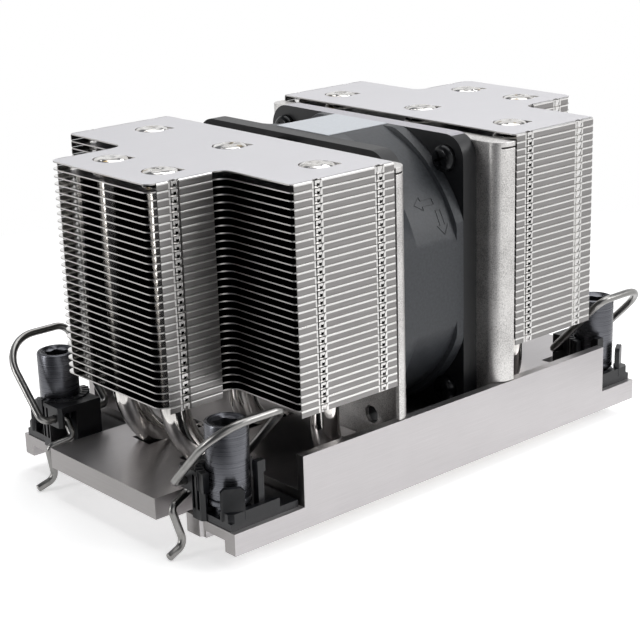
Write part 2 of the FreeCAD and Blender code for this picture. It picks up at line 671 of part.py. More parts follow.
def nut_carrier(inner_x):
    """Moulded carrier: a floor with a low lip, a hinge block with half a collar, a tab and a latch post."""
    floor_top = PLATFORM_TOP + FLOOR_THICKNESS
    outer_y = SIDE_Y - CARRIER_INSET
    end_x = END_X - 0.2
    floor = box((inner_x, end_x), (CARRIER_INNER_Y + 1.2, outer_y), (PLATFORM_TOP, floor_top))
    lip = box((max(inner_x, TRAY_INNER_X), end_x), (outer_y - TRAY_WALL, outer_y), (PLATFORM_TOP, TRAY_TOP))
    lip = lip.makeChamfer(0.9, edges_beyond(lip, upright=True, x=end_x, y=outer_y))
    stub = box((end_x - 2.2, end_x), (outer_y - 3.2, outer_y - TRAY_WALL), (floor_top, TRAY_TOP))
    block = box((PLATE_END_X, CARRIER_END_X), (CARRIER_INNER_Y, BLOCK_OUTER_Y), (PLATFORM_TOP, BLOCK_TOP))
    block = block.makeChamfer(0.7, edges_beyond(block, upright=True, x=CARRIER_END_X))
    collar = prism(flat_sided(COLLAR_OUTER, 2 * ROUND_SIDES, NUT_X, NUT_Y), *COLLAR_Z)
    collar = collar.common(box((0, NUT_X + 10), (0, NUT_Y), COLLAR_Z))
    carrier = fuse_all([floor, lip, stub, block, collar, carrier_tab(floor_top), carrier_latch()])
    return carrier.cut(Part.makeCompound(carrier_cuts(floor_top))).removeSplitter()


def edges_beyond(solid, upright, x=-1e3, y=-1e3, z=-1e3):
    """The upright or the X-wise edges of a box that lie at or past a place."""
    found = []
    for edge in solid.Edges:
        bounds = edge.BoundBox
        length = bounds.ZLength if upright else bounds.XLength
        past = bounds.XMin > x - 0.1 and bounds.YMin > y - 0.1 and bounds.ZMin > z - 0.1
        if length > 1 and past:
            found.append(edge)
    return found


def carrier_tab(floor_top):
    """Upright tab beside the nut with its top corners taken off."""
    tab = box((TAB_REACH, TAB_REACH + 1.1), (-TAB_HALF_WIDTH, TAB_HALF_WIDTH), (floor_top, TAB_TOP))
    tab = tab.makeChamfer(0.7, edges_beyond(tab, upright=False, z=TAB_TOP))
    tab.rotate(Vector(0, 0, 0), Vector(0, 0, 1), TAB_TURN)
    tab.translate(Vector(NUT_X, NUT_Y, 0))
    return tab


def carrier_latch():
    """Latch post with a beak that leans over what it holds."""
    latch = box((LATCH_X, LATCH_X + 1.4), (LATCH_Y, LATCH_Y + 1.5), (PLATFORM_TOP, LATCH_TOP))
    beak = box((LATCH_X - 0.5, LATCH_X + 1.4), (LATCH_Y - 0.5, LATCH_Y + 1.5), (LATCH_TOP - 2.4, LATCH_TOP))
    near_top = [edge for edge in edges_beyond(beak, upright=False, z=LATCH_TOP) if edge.BoundBox.YMax < LATCH_Y]
    return latch.fuse(beak.makeChamfer(0.8, near_top))


def carrier_cuts(floor_top):
    """Nut bore, wire journals, the window the wire swings in and the grooves of the end face."""
    neck_hole = flat_sided(NUT_NECK_RADIUS + 3 * NUT_CLEARANCE, ROUND_SIDES, NUT_X, NUT_Y)
    nut_space = flat_sided(COLLAR_INNER, 2 * ROUND_SIDES, NUT_X, NUT_Y)
    cuts = [prism(neck_hole, PLATFORM_TOP - 1, floor_top), prism(nut_space, floor_top, NUT_TOP)]
    bore = WIRE_RADIUS + JOURNAL_CLEARANCE
    for start, end in ((54.6, CARRIER_END_X + 1), (PLATE_END_X - 1, JOURNAL_END_X + 0.2)):
        cuts.append(cylinder(bore, Vector(start, HINGE_Y, HINGE_Z), Vector(end, HINGE_Y, HINGE_Z)))
    window_y = (CARRIER_INNER_Y - 1, HINGE_Y + 2.0)
    cuts.append(box((55.0, 57.9), window_y, (PLATFORM_TOP, HINGE_Z + 1.4)))
    cuts.append(box((55.0, CARRIER_END_X + 1), window_y, (PLATFORM_TOP, HINGE_Z - 1.8)))
    for groove in GROOVES_Y:
        cuts.append(box((CARRIER_END_X - 0.6, CARRIER_END_X + 1), groove, (6.6, BLOCK_TOP - 0.9)))
    return cuts


def anti_tilt_wire():
    """Spring wire: inner journal, bail over the nut, outer journal, crank and hook below the base."""
    points = [
        Vector(JOURNAL_END_X, HINGE_Y, HINGE_Z),
        Vector(BAIL_INNER_X, HINGE_Y, HINGE_Z),
        Vector(BAIL_INNER_X, BAIL_Y, BAIL_Z),
        Vector(BAIL_OUTER_X, BAIL_Y, BAIL_Z),
        Vector(BAIL_OUTER_X, HINGE_Y, HINGE_Z),
        Vector(56.5, HINGE_Y, HINGE_Z),
        Vector(56.5, 19.9, 7.6),
        Vector(60.4, 19.9, 5.8),
        Vector(59.7, 20.5, -1.0),
        Vector(63.6, 20.5, -2.6),
    ]
    bends = [1.5, WIRE_BEND, WIRE_BEND, 1.8, 1.5, 1.3, 1.3, 2.0]
    return bent_bar(points, bends, WIRE_RADIUS, WIRE_SIDES, WIRE_BEND_STEP)


# ---------------------------------------------------------------- all nodes
CORNERS = {"left_near": (-1, -1), "left_far": (-1, 1), "right_near": (1, -1), "right_far": (1, 1)}


def build():
    nodes = {
        "base_block": base_block(),
        "contact_plate": contact_plate(),
        "left_fin_stack": fin_stack(-1),
        "right_fin_stack": fin_stack(1),
        "left_top_fin": top_fin(-1),
        "right_top_fin": top_fin(1),
        "left_fan_bracket": fan_bracket(FAN_LEFT, -TOWER_FACE_X),
        "right_fan_bracket": fan_bracket(FAN_RIGHT, TOWER_FACE_X),
        "fan_frame": fan_frame(),
        "fan_rotor": fan_rotor(),
        "fan_shaft": fan_shaft(),
        "fan_magnet": fan_magnet(),
        "fan_bearing": fan_bearing(),
        "fan_stator": fan_stator(),
        "fan_circuit_board": fan_circuit_board(),
        "fan_label": fan_label(),
        "fan_screws": fan_screws(),
    }
    for number, (points, bends) in enumerate(PIPES, start=1):
        nodes["heat_pipe_" + str(number)] = heat_pipe(points, bends)
    for corner, (sign_x, sign_y) in CORNERS.items():
        wall_end = WALL_RIGHT_X if sign_x > 0 else -WALL_LEFT_X
        nodes["nut_carrier_" + corner] = mirrored(nut_carrier(wall_end + 0.6), sign_x, sign_y)
        nodes["load_nut_" + corner] = mirrored(load_nut(), sign_x, sign_y)
        nodes["retaining_ring_" + corner] = mirrored(retaining_ring(), sign_x, sign_y)
        nodes["anti_tilt_wire_" + corner] = mirrored(anti_tilt_wire(), sign_x, sign_y)
    return nodes


def main():
    os.makedirs("parts", exist_ok=True)
    for name, shape in build().items():
        shape.exportStep("parts/" + name + ".step")
        print(name, "valid" if shape.isValid() else "INVALID", len(shape.Solids), round(shape.Volume, 1))


main()
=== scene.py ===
import math

import bmesh
import bpy
from mathutils import Matrix, Vector


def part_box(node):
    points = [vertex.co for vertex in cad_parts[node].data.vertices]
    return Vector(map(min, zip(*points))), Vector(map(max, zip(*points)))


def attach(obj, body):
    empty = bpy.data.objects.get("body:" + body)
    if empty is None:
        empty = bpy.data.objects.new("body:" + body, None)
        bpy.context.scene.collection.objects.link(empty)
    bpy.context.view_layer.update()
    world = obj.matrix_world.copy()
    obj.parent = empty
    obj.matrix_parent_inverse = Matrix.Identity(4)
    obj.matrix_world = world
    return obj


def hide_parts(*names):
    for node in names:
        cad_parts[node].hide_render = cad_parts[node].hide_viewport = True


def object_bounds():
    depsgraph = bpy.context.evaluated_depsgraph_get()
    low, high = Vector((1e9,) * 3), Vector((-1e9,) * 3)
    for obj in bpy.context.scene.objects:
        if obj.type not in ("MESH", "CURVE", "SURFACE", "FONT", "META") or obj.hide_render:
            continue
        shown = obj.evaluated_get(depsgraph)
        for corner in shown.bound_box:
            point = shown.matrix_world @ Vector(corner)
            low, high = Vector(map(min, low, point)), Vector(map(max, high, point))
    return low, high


# A two-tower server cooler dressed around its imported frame: folded aluminium fins, nickelled heat pipes,
# a black fan between two plated brackets, and load nuts with spring wires at the four corners.
# Lengths are in millimetres until a mesh is finished, and then in metres.

MM = 0.001
MERGE = 1e-4                # points closer than this become one
FULL_TURN = 2 * math.pi
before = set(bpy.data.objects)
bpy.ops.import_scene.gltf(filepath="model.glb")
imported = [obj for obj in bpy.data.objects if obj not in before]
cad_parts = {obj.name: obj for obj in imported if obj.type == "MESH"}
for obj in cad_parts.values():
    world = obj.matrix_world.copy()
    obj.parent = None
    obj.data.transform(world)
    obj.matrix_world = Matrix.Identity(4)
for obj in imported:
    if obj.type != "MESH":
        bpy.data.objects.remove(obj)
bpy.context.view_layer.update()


# ---------------------------------------------------------------- colours and material nodes
def tint(code):
    """An sRGB hex colour as a linear one."""
    channels = [int(code[k:k + 2], 16) / 255 for k in (1, 3, 5)]
    return tuple(c / 12.92 if c <= 0.04045 else ((c + 0.055) / 1.055) ** 2.4 for c in channels) + (1.0,)


def add_node(tree, kind, settings=None, links=None):
    """A node of a tree with its settings, and its inputs set or linked by name or number. The setting
    "stops" gives a colour ramp its pairs of place and hex colour."""
    node = tree.nodes.new(kind)
    for name, value in (settings or {}).items():
        if name != "stops":
            setattr(node, name, value)
            continue
        elements = node.color_ramp.elements
        while len(elements) < len(value):
            elements.new(0.5)
        for element, (place, code) in zip(elements, value):
            element.position = place
            element.color = tint(code)
    for name, value in (links or {}).items():
        if isinstance(value, bpy.types.NodeSocket):
            tree.links.new(value, node.inputs[name])
        else:
            node.inputs[name].default_value = value
    return node


def new_material(name):
    """An empty material, its node tree, and the place on the object that its patterns read."""
    material = bpy.data.materials.new(name)
    material.use_nodes = True
    tree = material.node_tree
    tree.nodes.clear()
    return material, tree, add_node(tree, "ShaderNodeTexCoord").outputs["Object"]


def grain(tree, place, size_mm, stretch=(1, 1, 1), detail=3.0, rough=0.6):
    """Uneven spots, the largest of them size_mm across, drawn out along an axis by a factor."""
    scale = [1 / (size_mm * MM * s) for s in stretch]
    mapping = add_node(tree, "ShaderNodeMapping", links={"Vector": place, "Scale": scale})
    spots = add_node(tree, "ShaderNodeTexNoise", links={
        "Vector": mapping.outputs[0], "Scale": 1.0, "Detail": detail, "Roughness": rough})
    return spots.outputs["Fac"]


def finish_surface(tree, pattern, stops, rough, relief_mm, values, colour_by=None, relief_by=None):
    """Ends a material whose roughness follows a pattern, as do its colour and relief unless they have
    patterns of their own. Values are the shader's, the same all over."""
    colour = add_node(tree, "ShaderNodeValToRGB", {"stops": stops}, {
        "Fac": pattern if colour_by is None else colour_by})
    gloss = add_node(tree, "ShaderNodeMapRange", links={0: pattern, 3: rough[0], 4: rough[1]})
    relief = add_node(tree, "ShaderNodeBump", links={
        "Height": pattern if relief_by is None else relief_by, "Distance": relief_mm * MM, "Strength": 1.0})
    shader = add_node(tree, "ShaderNodeBsdfPrincipled", links={
        "Base Color": colour.outputs["Color"], "Roughness": gloss.outputs[0],
        "Normal": relief.outputs["Normal"], **values})
    add_node(tree, "ShaderNodeOutputMaterial", links={"Surface": shader.outputs[0]})


METAL = {"Metallic": 1.0}
EVEN = (0.35, 0.65)         # where a grain's dark and light colours are reached
TOOL_FEED = 0.3             # rings that the turning tool leaves on the nuts, coarse enough to show


def brushed_aluminium(name, light, dark, stretch, grain_mm, rough, relief_mm=0.004):
    """Milled or rolled aluminium with fine lines along one axis: soft streaks that stretch the highlights."""
    material, tree, place = new_material(name)
    lines = grain(tree, place, grain_mm, stretch, 4.0, 0.7)
    clouds = grain(tree, place, 14.0)
    both = add_node(tree, "ShaderNodeMix", {"data_type": "FLOAT"}, {0: 0.3, 2: lines, 3: clouds})
    finish_surface(tree, lines, [(0.3, dark), (0.7, light)], rough, relief_mm, METAL,
                   colour_by=both.outputs[0])
    return material


def nickel_pipe():
    """Bright nickel plate on drawn copper tube: mirror-like with faint long draw marks."""
    material, tree, place = new_material("bright_nickel_plate")
    marks = grain(tree, place, 1.2, (1, 1, 8))
    finish_surface(tree, marks, list(zip(EVEN, ("#cfccc8", "#e9e6e2"))), (0.07, 0.15), 0.004, METAL)
    return material


def solder_tip():
    """Pipe tips as soldered: bright, uneven, and a little brown where the flux burnt."""
    material, tree, place = new_material("soldered_pipe_tip")
    patches = grain(tree, place, 4.0, detail=2.0)
    waves = grain(tree, place, 2.2, detail=1.0)
    finish_surface(tree, patches, [(0.31, "#98886a"), (0.38, "#c9c6c2"), (0.8, "#dedddc")], (0.06, 0.16),
                   0.5, METAL, relief_by=waves)
    return material


def speckled_plate():
    """Zinc-flake plate on folded steel: a light and dark speckle under a soft gloss. The flakes are drawn
    about twice as coarse as they are, so that they show."""
    material, tree, place = new_material("speckled_zinc_plate")
    speckle = grain(tree, place, 0.24, detail=2.0, rough=0.7)
    clouds = grain(tree, place, 9.0)
    both = add_node(tree, "ShaderNodeMix", {"data_type": "FLOAT"}, {0: 0.35, 2: speckle, 3: clouds})
    finish_surface(tree, speckle, [(0.36, "#a3a1a0"), (0.5, "#d2d0ce"), (0.66, "#eae8e6")], (0.34, 0.5),
                   0.012, METAL, colour_by=both.outputs[0])
    return material


def moulded_black(name, light, dark, grain_mm, roughness, relief_mm):
    """Moulded plastic with a fine spark-eroded grain that greys it where the light grazes."""
    material, tree, place = new_material(name)
    finish_surface(tree, grain(tree, place, grain_mm, detail=4.0), list(zip(EVEN, (dark, light))),
                   (roughness - 0.06, roughness + 0.08), relief_mm, {"IOR": 1.5})
    return material


def turned_black():
    """Black-finished turned steel: fine rings round the axis and a soft sheen."""
    material, tree, place = new_material("black_turned_steel")
    height = add_node(tree, "ShaderNodeSeparateXYZ", links={0: place}).outputs[2]
    rings = add_node(tree, "ShaderNodeTexNoise", {"noise_dimensions": "1D"}, {
        "W": height, "Scale": 1 / (TOOL_FEED * MM), "Detail": 2.0, "Roughness": 0.6}).outputs["Fac"]
    finish_surface(tree, rings, list(zip(EVEN, ("#5b5c61", "#6d6e73"))), (0.22, 0.36), 0.008,
                   {"Metallic": 0.9})
    return material


def drawn_wire():
    """Drawn spring steel: satin, with faint scratches and a little haze."""
    material, tree, place = new_material("drawn_spring_steel")
    marks = grain(tree, place, 2.5)
    finish_surface(tree, marks, list(zip(EVEN, ("#8a8987", "#979694"))), (0.26, 0.32), 0.003, METAL)
    return material


def plain_finish(name, light, dark, grain_mm, metallic, low, high):
    """Small parts that barely show: an even finish with faint grain."""
    material, tree, place = new_material(name)
    finish_surface(tree, grain(tree, place, grain_mm), list(zip(EVEN, (dark, light))), (low, high), 0.01,
                   {"Metallic": metallic})
    return material


# The base: milled, so long soft streaks run along its walls and deck; its end faces take a darker copy with
# the streaks turned across, painted shade.
MILLED = brushed_aluminium("milled_aluminium", "#c2bfc0", "#b4b1b2", (60, 1, 1), 0.22, (0.28, 0.42))
MILLED_END_PAINTED_SHADE = brushed_aluminium("end_aluminium_painted_shade", "#a09d9d", "#94918f", (1, 60, 1), 0.22, (0.3, 0.44))
# The fins: rolled sheet that mirrors its neighbours and matt sheared edges. The flats of the folded lips are
# painted darker as shade, and their bends and locks painted pale as a highlight.
FIN = brushed_aluminium("rolled_fin_aluminium", "#e6e5e4", "#dad9d8", (12, 12, 1), 0.5, (0.05, 0.1), 0.0004)
EDGE = brushed_aluminium("sheared_fin_edge", "#bfbdbb", "#aeacaa", (14, 14, 1), 0.5, (0.3, 0.4), 0.001)
LIP_PAINTED_SHADE = brushed_aluminium("folded_lip_aluminium_painted_shade", "#9a9897", "#888685", (14, 1, 1), 0.5, (0.3, 0.4), 0.002)
BEND_PAINTED_HIGHLIGHT = brushed_aluminium("bend_aluminium_painted_highlight", "#ecebe9", "#dedcda", (14, 1, 1), 0.5, (0.24, 0.34),
                         0.002)
# The closing fins: the same sheet with its satin side up, pale and even.
TOP = brushed_aluminium("rolled_top_aluminium", "#d7d6d9", "#d1d0d3", (30, 1, 1), 0.4, (0.42, 0.5), 0.001)
# The contact plate: nickel lapped flat, a soft mirror with fine straight lines.
NICKEL_FACE = brushed_aluminium("lapped_nickel_face", "#cfccc7", "#bfbcb6", (40, 1, 1), 0.3, (0.16, 0.26),
                                0.002)
PIPE = nickel_pipe()
TIP = solder_tip()
PLATE = speckled_plate()
# Glass-filled nylon: a dark grey satin duct. The same nylon is darker on the flanges as painted shade, and
# pale on one flange top as a painted sheen.
DUCT = moulded_black("moulded_fan_nylon", "#3b3e42", "#2f3135", 0.6, 0.46, 0.03)
FLANGE_PAINTED_SHADE = moulded_black("moulded_flange_nylon_painted_shade", "#141518", "#0e0f11", 0.6, 0.42, 0.02)
FLANGE_TOP_PAINTED_SHEEN = moulded_black("flange_top_nylon_painted_sheen", "#b4b2b9", "#a19fa5", 0.6, 0.34, 0.01)
# The impeller is smoother than the duct, and the nut carriers are the blackest, with a wet edge gloss.
ROTOR = moulded_black("moulded_rotor_nylon", "#232528", "#1a1c1e", 0.6, 0.4, 0.01)
CARRIER = moulded_black("moulded_carrier_nylon", "#0d0f14", "#08090c", 0.5, 0.36, 0.02)
NUT = turned_black()
WIRE = drawn_wire()
# Small parts: oily black screws, matt label paper, and the fan's inside, which hardly shows.
SCREW = plain_finish("black_oxide_steel", "#1d1e20", "#121315", 0.8, 0.6, 0.18, 0.28)
PAPER = plain_finish("coated_label_paper", "#c9cdd2", "#c1c5ca", 0.5, 0.0, 0.45, 0.6)
BRONZE = plain_finish("sintered_bronze", "#a8875a", "#8a6c45", 0.3, 1.0, 0.4, 0.5)
WINDING = plain_finish("lacquered_winding", "#a4623c", "#7c4629", 0.4, 1.0, 0.3, 0.45)
BOARD = plain_finish("green_board_resin", "#1f5a36", "#174629", 0.6, 0.0, 0.3, 0.45)
GROUND = plain_finish("ground_steel", "#c9c9c8", "#b0b0ae", 0.4, 1.0, 0.15, 0.25)
FERRITE = plain_finish("bonded_ferrite", "#2e2d2c", "#232221", 0.5, 0.0, 0.6, 0.7)
RING = plain_finish("dark_spring_steel", "#4a4b4e", "#37383a", 0.4, 1.0, 0.3, 0.4)


# ---------------------------------------------------------------- mesh tools
def make_piece(name, bm, materials, body, nodes=(), smooth_deg=35.0):
    """Turns a bmesh in millimetres into a piece that rides on a body and may stand for CAD nodes."""
    bm.transform(Matrix.Scale(MM, 4))
    mesh = bpy.data.meshes.new(name)
    bm.to_mesh(mesh)
    bm.free()
    for material in materials:
        mesh.materials.append(material)
    mesh.polygons.foreach_set("use_smooth", [True] * len(mesh.polygons))
    mesh.set_sharp_from_angle(angle=math.radians(smooth_deg))
    thing = bpy.data.objects.new(name, mesh)
    bpy.context.scene.collection.objects.link(thing)
    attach(thing, body)
    if nodes:
        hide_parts(*nodes)
    return thing


def add_bevel(thing, width_mm):
    """Rounds the edges that turn by more than 40 degrees."""
    modifier = thing.modifiers.new("edges", "BEVEL")
    modifier.width = width_mm * MM
    modifier.segments = 2
    modifier.limit_method = "ANGLE"
    modifier.angle_limit = math.radians(40)


MOVE_REACH = 0.25           # how far from the place named a point may lie and still move


def merged_copy(node):
    """A CAD node's mesh as a bmesh in millimetres, with its loose triangles joined into clean faces."""
    bm = bmesh.new()
    bm.from_mesh(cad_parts[node].data)
    bm.transform(Matrix.Scale(1 / MM, 4))
    bmesh.ops.remove_doubles(bm, verts=bm.verts, dist=MERGE)
    bmesh.ops.dissolve_limit(bm, angle_limit=math.radians(0.5), verts=bm.verts, edges=bm.edges)
    for face in bm.faces:
        face.material_index = 0
    return bm


def dressed(node, materials, body="cooler", bevel=0.15, smooth_deg=30, moves=(), cuts=(), choose=None):
    """A CAD node's own shape with its edges eased, standing for the node. Moves take the points near one
    place to another along an axis, cuts split faces across X, and choose picks a face's material."""
    bm = merged_copy(node)
    for x in cuts:
        bmesh.ops.bisect_plane(bm, geom=bm.verts[:] + bm.edges[:] + bm.faces[:], dist=MERGE,
                               plane_co=(x, 0, 0), plane_no=(1, 0, 0))
    for axis, old, new in moves:
        step = [0, 0, 0]
        step[axis] = new - old
        bmesh.ops.translate(bm, vec=step, verts=[v for v in bm.verts if abs(v.co[axis] - old) < MOVE_REACH])
    if choose:
        for face in bm.faces:
            face.material_index = choose(face.calc_center_median(), face.normal)
    part = make_piece(node + "_finished", bm, materials, body, [node], smooth_deg=smooth_deg)
    if bevel:
        add_bevel(part, bevel)


def paint(node, material):
    """Gives a CAD node's own mesh a material and leaves its shape."""
    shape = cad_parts[node]
    shape.data.materials.clear()
    shape.data.materials.append(material)


def add_ring(bm, centre, radius, count, axis):
    """A closed loop of edges round an axis."""
    turn = Vector((0, 0, 1)).rotation_difference(axis).to_matrix().to_4x4()
    made = bmesh.ops.create_circle(bm, cap_ends=False, radius=radius, segments=count,
                                   matrix=Matrix.Translation(centre) @ turn)
    ring = set(made["verts"])
    return [edge for edge in bm.edges if all(v in ring for v in edge.verts)]


def lobed_loop(bm, count, reach, height):
    """A closed loop of edges round Z, whose radius is given for each angle."""
    verts = []
    for k in range(count):
        angle = FULL_TURN * k / count
        verts.append(bm.verts.new((reach(angle) * math.cos(angle), reach(angle) * math.sin(angle), height)))
    return [bm.edges.new(pair) for pair in zip(verts, verts[1:] + verts[:1])]


def turn_profile(bm, pairs, steps, axis=(0, 0, 1), closed=False):
    """Spins a profile of X and Z pairs a full turn round an axis through the origin."""
    verts = [bm.verts.new((x, 0, z)) for x, z in pairs]
    edges = [bm.edges.new(pair) for pair in zip(verts, verts[1:] + verts[:1] if closed else verts[1:])]
    bmesh.ops.spin(bm, geom=verts + edges, cent=(0, 0, 0), axis=axis, angle=FULL_TURN, steps=steps,
                   use_merge=True)


def edge_verts(edges):
    return list({v for edge in edges for v in edge.verts})


def pull(bm, edges, move):
    """Extrudes a loop of edges along a move and gives the new loop."""
    made = bmesh.ops.extrude_edge_only(bm, edges=edges)["geom"]
    fresh = [item for item in made if isinstance(item, bmesh.types.BMVert)]
    bmesh.ops.translate(bm, vec=move, verts=fresh)
    return [item for item in made if isinstance(item, bmesh.types.BMEdge)]


def swing(bm, edges, centre, axis, angle, steps):
    """Spins a loop of edges round an axis and gives the last loop."""
    made = bmesh.ops.spin(bm, geom=edges, cent=centre, axis=axis, angle=angle, steps=steps, use_merge=False)
    return [item for item in made["geom_last"] if isinstance(item, bmesh.types.BMEdge)]


DOME_SLICES = 5


def bent_tube(points, bends, radius, sides, step_deg, dome=0.5):
    """A round bar along straight runs joined by tangent arcs, closed by domes of a height at both ends."""
    points = [Vector(p) for p in points]
    bm = bmesh.new()
    along = (points[1] - points[0]).normalized()
    start_loop = add_ring(bm, points[0], radius, sides, along)
    loop = start_loop
    start = points[0]
    for before, corner, after, bend in zip(points, points[1:], points[2:], bends):
        back = (before - corner).normalized()
        ahead = (after - corner).normalized()
        half_turn = (math.pi - back.angle(ahead)) / 2
        setback = bend * math.tan(half_turn)
        loop = pull(bm, loop, corner + back * setback - start)
        centre = corner + (back + ahead).normalized() * (bend / math.cos(half_turn))
        steps = max(2, round(math.degrees(2 * half_turn) / step_deg))
        loop = swing(bm, loop, centre, ahead.cross(back), 2 * half_turn, steps)
        start = corner + ahead * setback
    loop = pull(bm, loop, points[-1] - start)
    slice_angle = math.pi / 2 / DOME_SLICES
    for edges, out in ((start_loop, -along), (loop, (points[-1] - points[-2]).normalized())):
        for k in range(1, DOME_SLICES):
            angle = slice_angle * k
            shrink = math.cos(angle) / math.cos(angle - slice_angle)
            step = dome * (math.sin(angle) - math.sin(angle - slice_angle))
            edges = pull(bm, edges, out * step)
            middle = sum((v.co for v in edge_verts(edges)), Vector()) / len(edges)
            bmesh.ops.scale(bm, vec=(shrink,) * 3, space=Matrix.Translation(-middle), verts=edge_verts(edges))
        bmesh.ops.contextual_create(bm, geom=edges)
    bmesh.ops.remove_doubles(bm, verts=bm.verts, dist=MERGE)
    bmesh.ops.recalc_face_normals(bm, faces=bm.faces)
    return bm


def flat_sheet(bm, outline, holes):
    """Flat faces at height 0 inside an outline, less its holes. Outline and holes are lists of X, Y."""
    edges = []
    for loop in [outline] + holes:
        verts = [bm.verts.new((x, y, 0)) for x, y in loop]
        edges += [bm.edges.new((a, b)) for a, b in zip(verts, verts[1:] + verts[:1])]
    made = bmesh.ops.triangle_fill(bm, use_beauty=True, use_dissolve=False, edges=edges, normal=(0, 0, 1))
    return [item for item in made["geom"] if isinstance(item, bmesh.types.BMFace)]


def thicken(bm, faces, move):
    """Gives faces a thickness along a move, with closed walls."""
    made = bmesh.ops.extrude_face_region(bm, geom=faces)
    bmesh.ops.translate(bm, vec=move, verts=[v for v in made["geom"] if isinstance(v, bmesh.types.BMVert)])


def arc_points(centre, radius, start_deg, end_deg, count):
    """The ends of count equal steps along an arc, as X, Y pairs."""
    angles = [math.radians(start_deg + (end_deg - start_deg) * k / count) for k in range(count + 1)]
    return [(centre[0] + radius * math.cos(a), centre[1] + radius * math.sin(a)) for a in angles]


# ---------------------------------------------------------------- sizes read from the frame
def box_mm(node):
    low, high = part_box(node)
    return low / MM, high / MM


stack_low, stack_high = box_mm("right_fin_stack")
FAN_FACE = {-1: 15.9, 1: 18.0}          # how far from the middle each tower starts
SHOULDER = {-1: 41.5, 1: 42.6}          # where each tower's wide part ends
TOWER_END = stack_high.x
SIDE = stack_high.y                     # half width of the wide part, and of the narrow one
NARROW = 16.7
TOP_Z = box_mm("right_top_fin")[1].z
FINS = 30
PITCH = (TOP_Z - stack_low.z) / FINS
SHEET = 0.26                            # thickness of a plate, and of its folded edge
LIP_SHEET = 0.2
LIP_GAP = 0.02                          # between a folded edge and the next plate
LIP_CURVE = [(0.36, 0.0), (0.13, -0.07), (0.02, -0.2), (0.0, -0.46)]     # in from the side, and down
END_CORNER = 2.0                        # corner radii: narrow end, wide part, and the hollow between them
CORNER = 0.7
INNER_CORNER = 2.4
WIDE_LUGS = (4.1, 19.7)                 # locks of the wide part, from the tower's face
NARROW_LUG = TOWER_END - 5.75
LUG_HALF = 1.25
LUG_PROUD = 0.2                         # how far a lock stands out from the folded edge
NICK = (0.6, 0.5)                       # half width and depth of a nick above a lock
PIPE_R = 3.0
PIPE_ROWS = [(27.0, -26.5), (27.0, 0.0), (27.0, 26.5), (50.2, -8.1), (50.2, 8.1)]
TOP_HOLE_R = PIPE_R + 0.6
HOLE_TAIL = 0.9                         # the teardrop end of a hole in a closing fin: reach, radius, heading
HOLE_TAIL_R = 0.3
HOLE_TAIL_TURN = {-1: -142, 1: -38}
# Slot 1 is the painted highlight of bends and locks; slot 2 the painted shade of the lips' flats.
HIGHLIGHT_PART, SHADE_LIP_PART, EDGE_PART = 1, 2, 3        # material slots of a fin, whose plate is slot 0


# ---------------------------------------------------------------- fins
def lug_places(sign_x):
    """Where the locks of one side are, as X, Y pairs."""
    return [(FAN_FACE[sign_x] + x, SIDE) for x in WIDE_LUGS] + [(NARROW_LUG, NARROW)]


def fin_outline(sign_x, nicked):
    """T-shaped plan of a fin with rounded corners, and with nicks above the locks when asked for."""
    face_x, shoulder = FAN_FACE[sign_x], SHOULDER[sign_x]
    inset = LIP_CURVE[0][0]
    reach, depth = NICK
    half = arc_points((face_x + CORNER, SIDE - CORNER), CORNER, 180, 90, 3)
    for x, y in lug_places(sign_x):
        if y < SIDE:
            half += arc_points((shoulder - CORNER, SIDE - CORNER), CORNER, 90, 0, 3)
            half += arc_points((shoulder + INNER_CORNER, NARROW + INNER_CORNER), INNER_CORNER, 180, 270, 5)
        if nicked:
            half += [(x - reach, y), (x - reach, y - depth), (x + reach, y - depth), (x + reach, y)]
    half += arc_points((TOWER_END - END_CORNER, NARROW - END_CORNER), END_CORNER, 90, 0, 5)
    half = [(x, y - inset) for x, y in half]
    return half + [(x, -y) for x, y in reversed(half)]


def round_hole(x, y):
    """The hole of a stacked fin round a pipe, with sides few enough to repeat."""
    return arc_points((x, y), PIPE_R, 0, 330, 11)


def teardrop_hole(x, y, sign_x):
    """The hole of a closing fin: round, with a small tail that points to +X and -Y on both towers."""
    turn = HOLE_TAIL_TURN[sign_x]
    heading = math.radians(turn)
    reach = TOP_HOLE_R + HOLE_TAIL
    end = (x + reach * math.cos(heading), y + reach * math.sin(heading))
    return (arc_points((x, y), TOP_HOLE_R, turn + 24, turn + 336, 28)
            + arc_points(end, HOLE_TAIL_R, turn - 70, turn + 70, 3))


def add_strip(bm, rows, slots):
    """Faces between rows of points, with a material slot for each step along a row. Gives the faces."""
    grid = [[bm.verts.new(point) for point in row] for row in rows]
    faces = []
    for one, two in zip(grid, grid[1:]):
        for k, slot in enumerate(slots):
            face = bm.faces.new((one[k], one[k + 1], two[k + 1], two[k]))
            face.material_index = slot
            faces.append(face)
    return faces


def lip_strip(bm, start, end, side, depth):
    """The folded edge of a fin between two places: a bend painted pale as a highlight, and a flat painted
    darker as shade that reaches the next fin.
    """
    sign = 1 if side > 0 else -1
    curve = LIP_CURVE + [(0.0, -depth)]
    rows = [[(x, side - sign * inward, z) for inward, z in curve] for x in (start, end)]
    faces = add_strip(bm, rows, [HIGHLIGHT_PART] * (len(LIP_CURVE) - 1) + [SHADE_LIP_PART])
    thicken(bm, faces, (0, -sign * LIP_SHEET, 0))


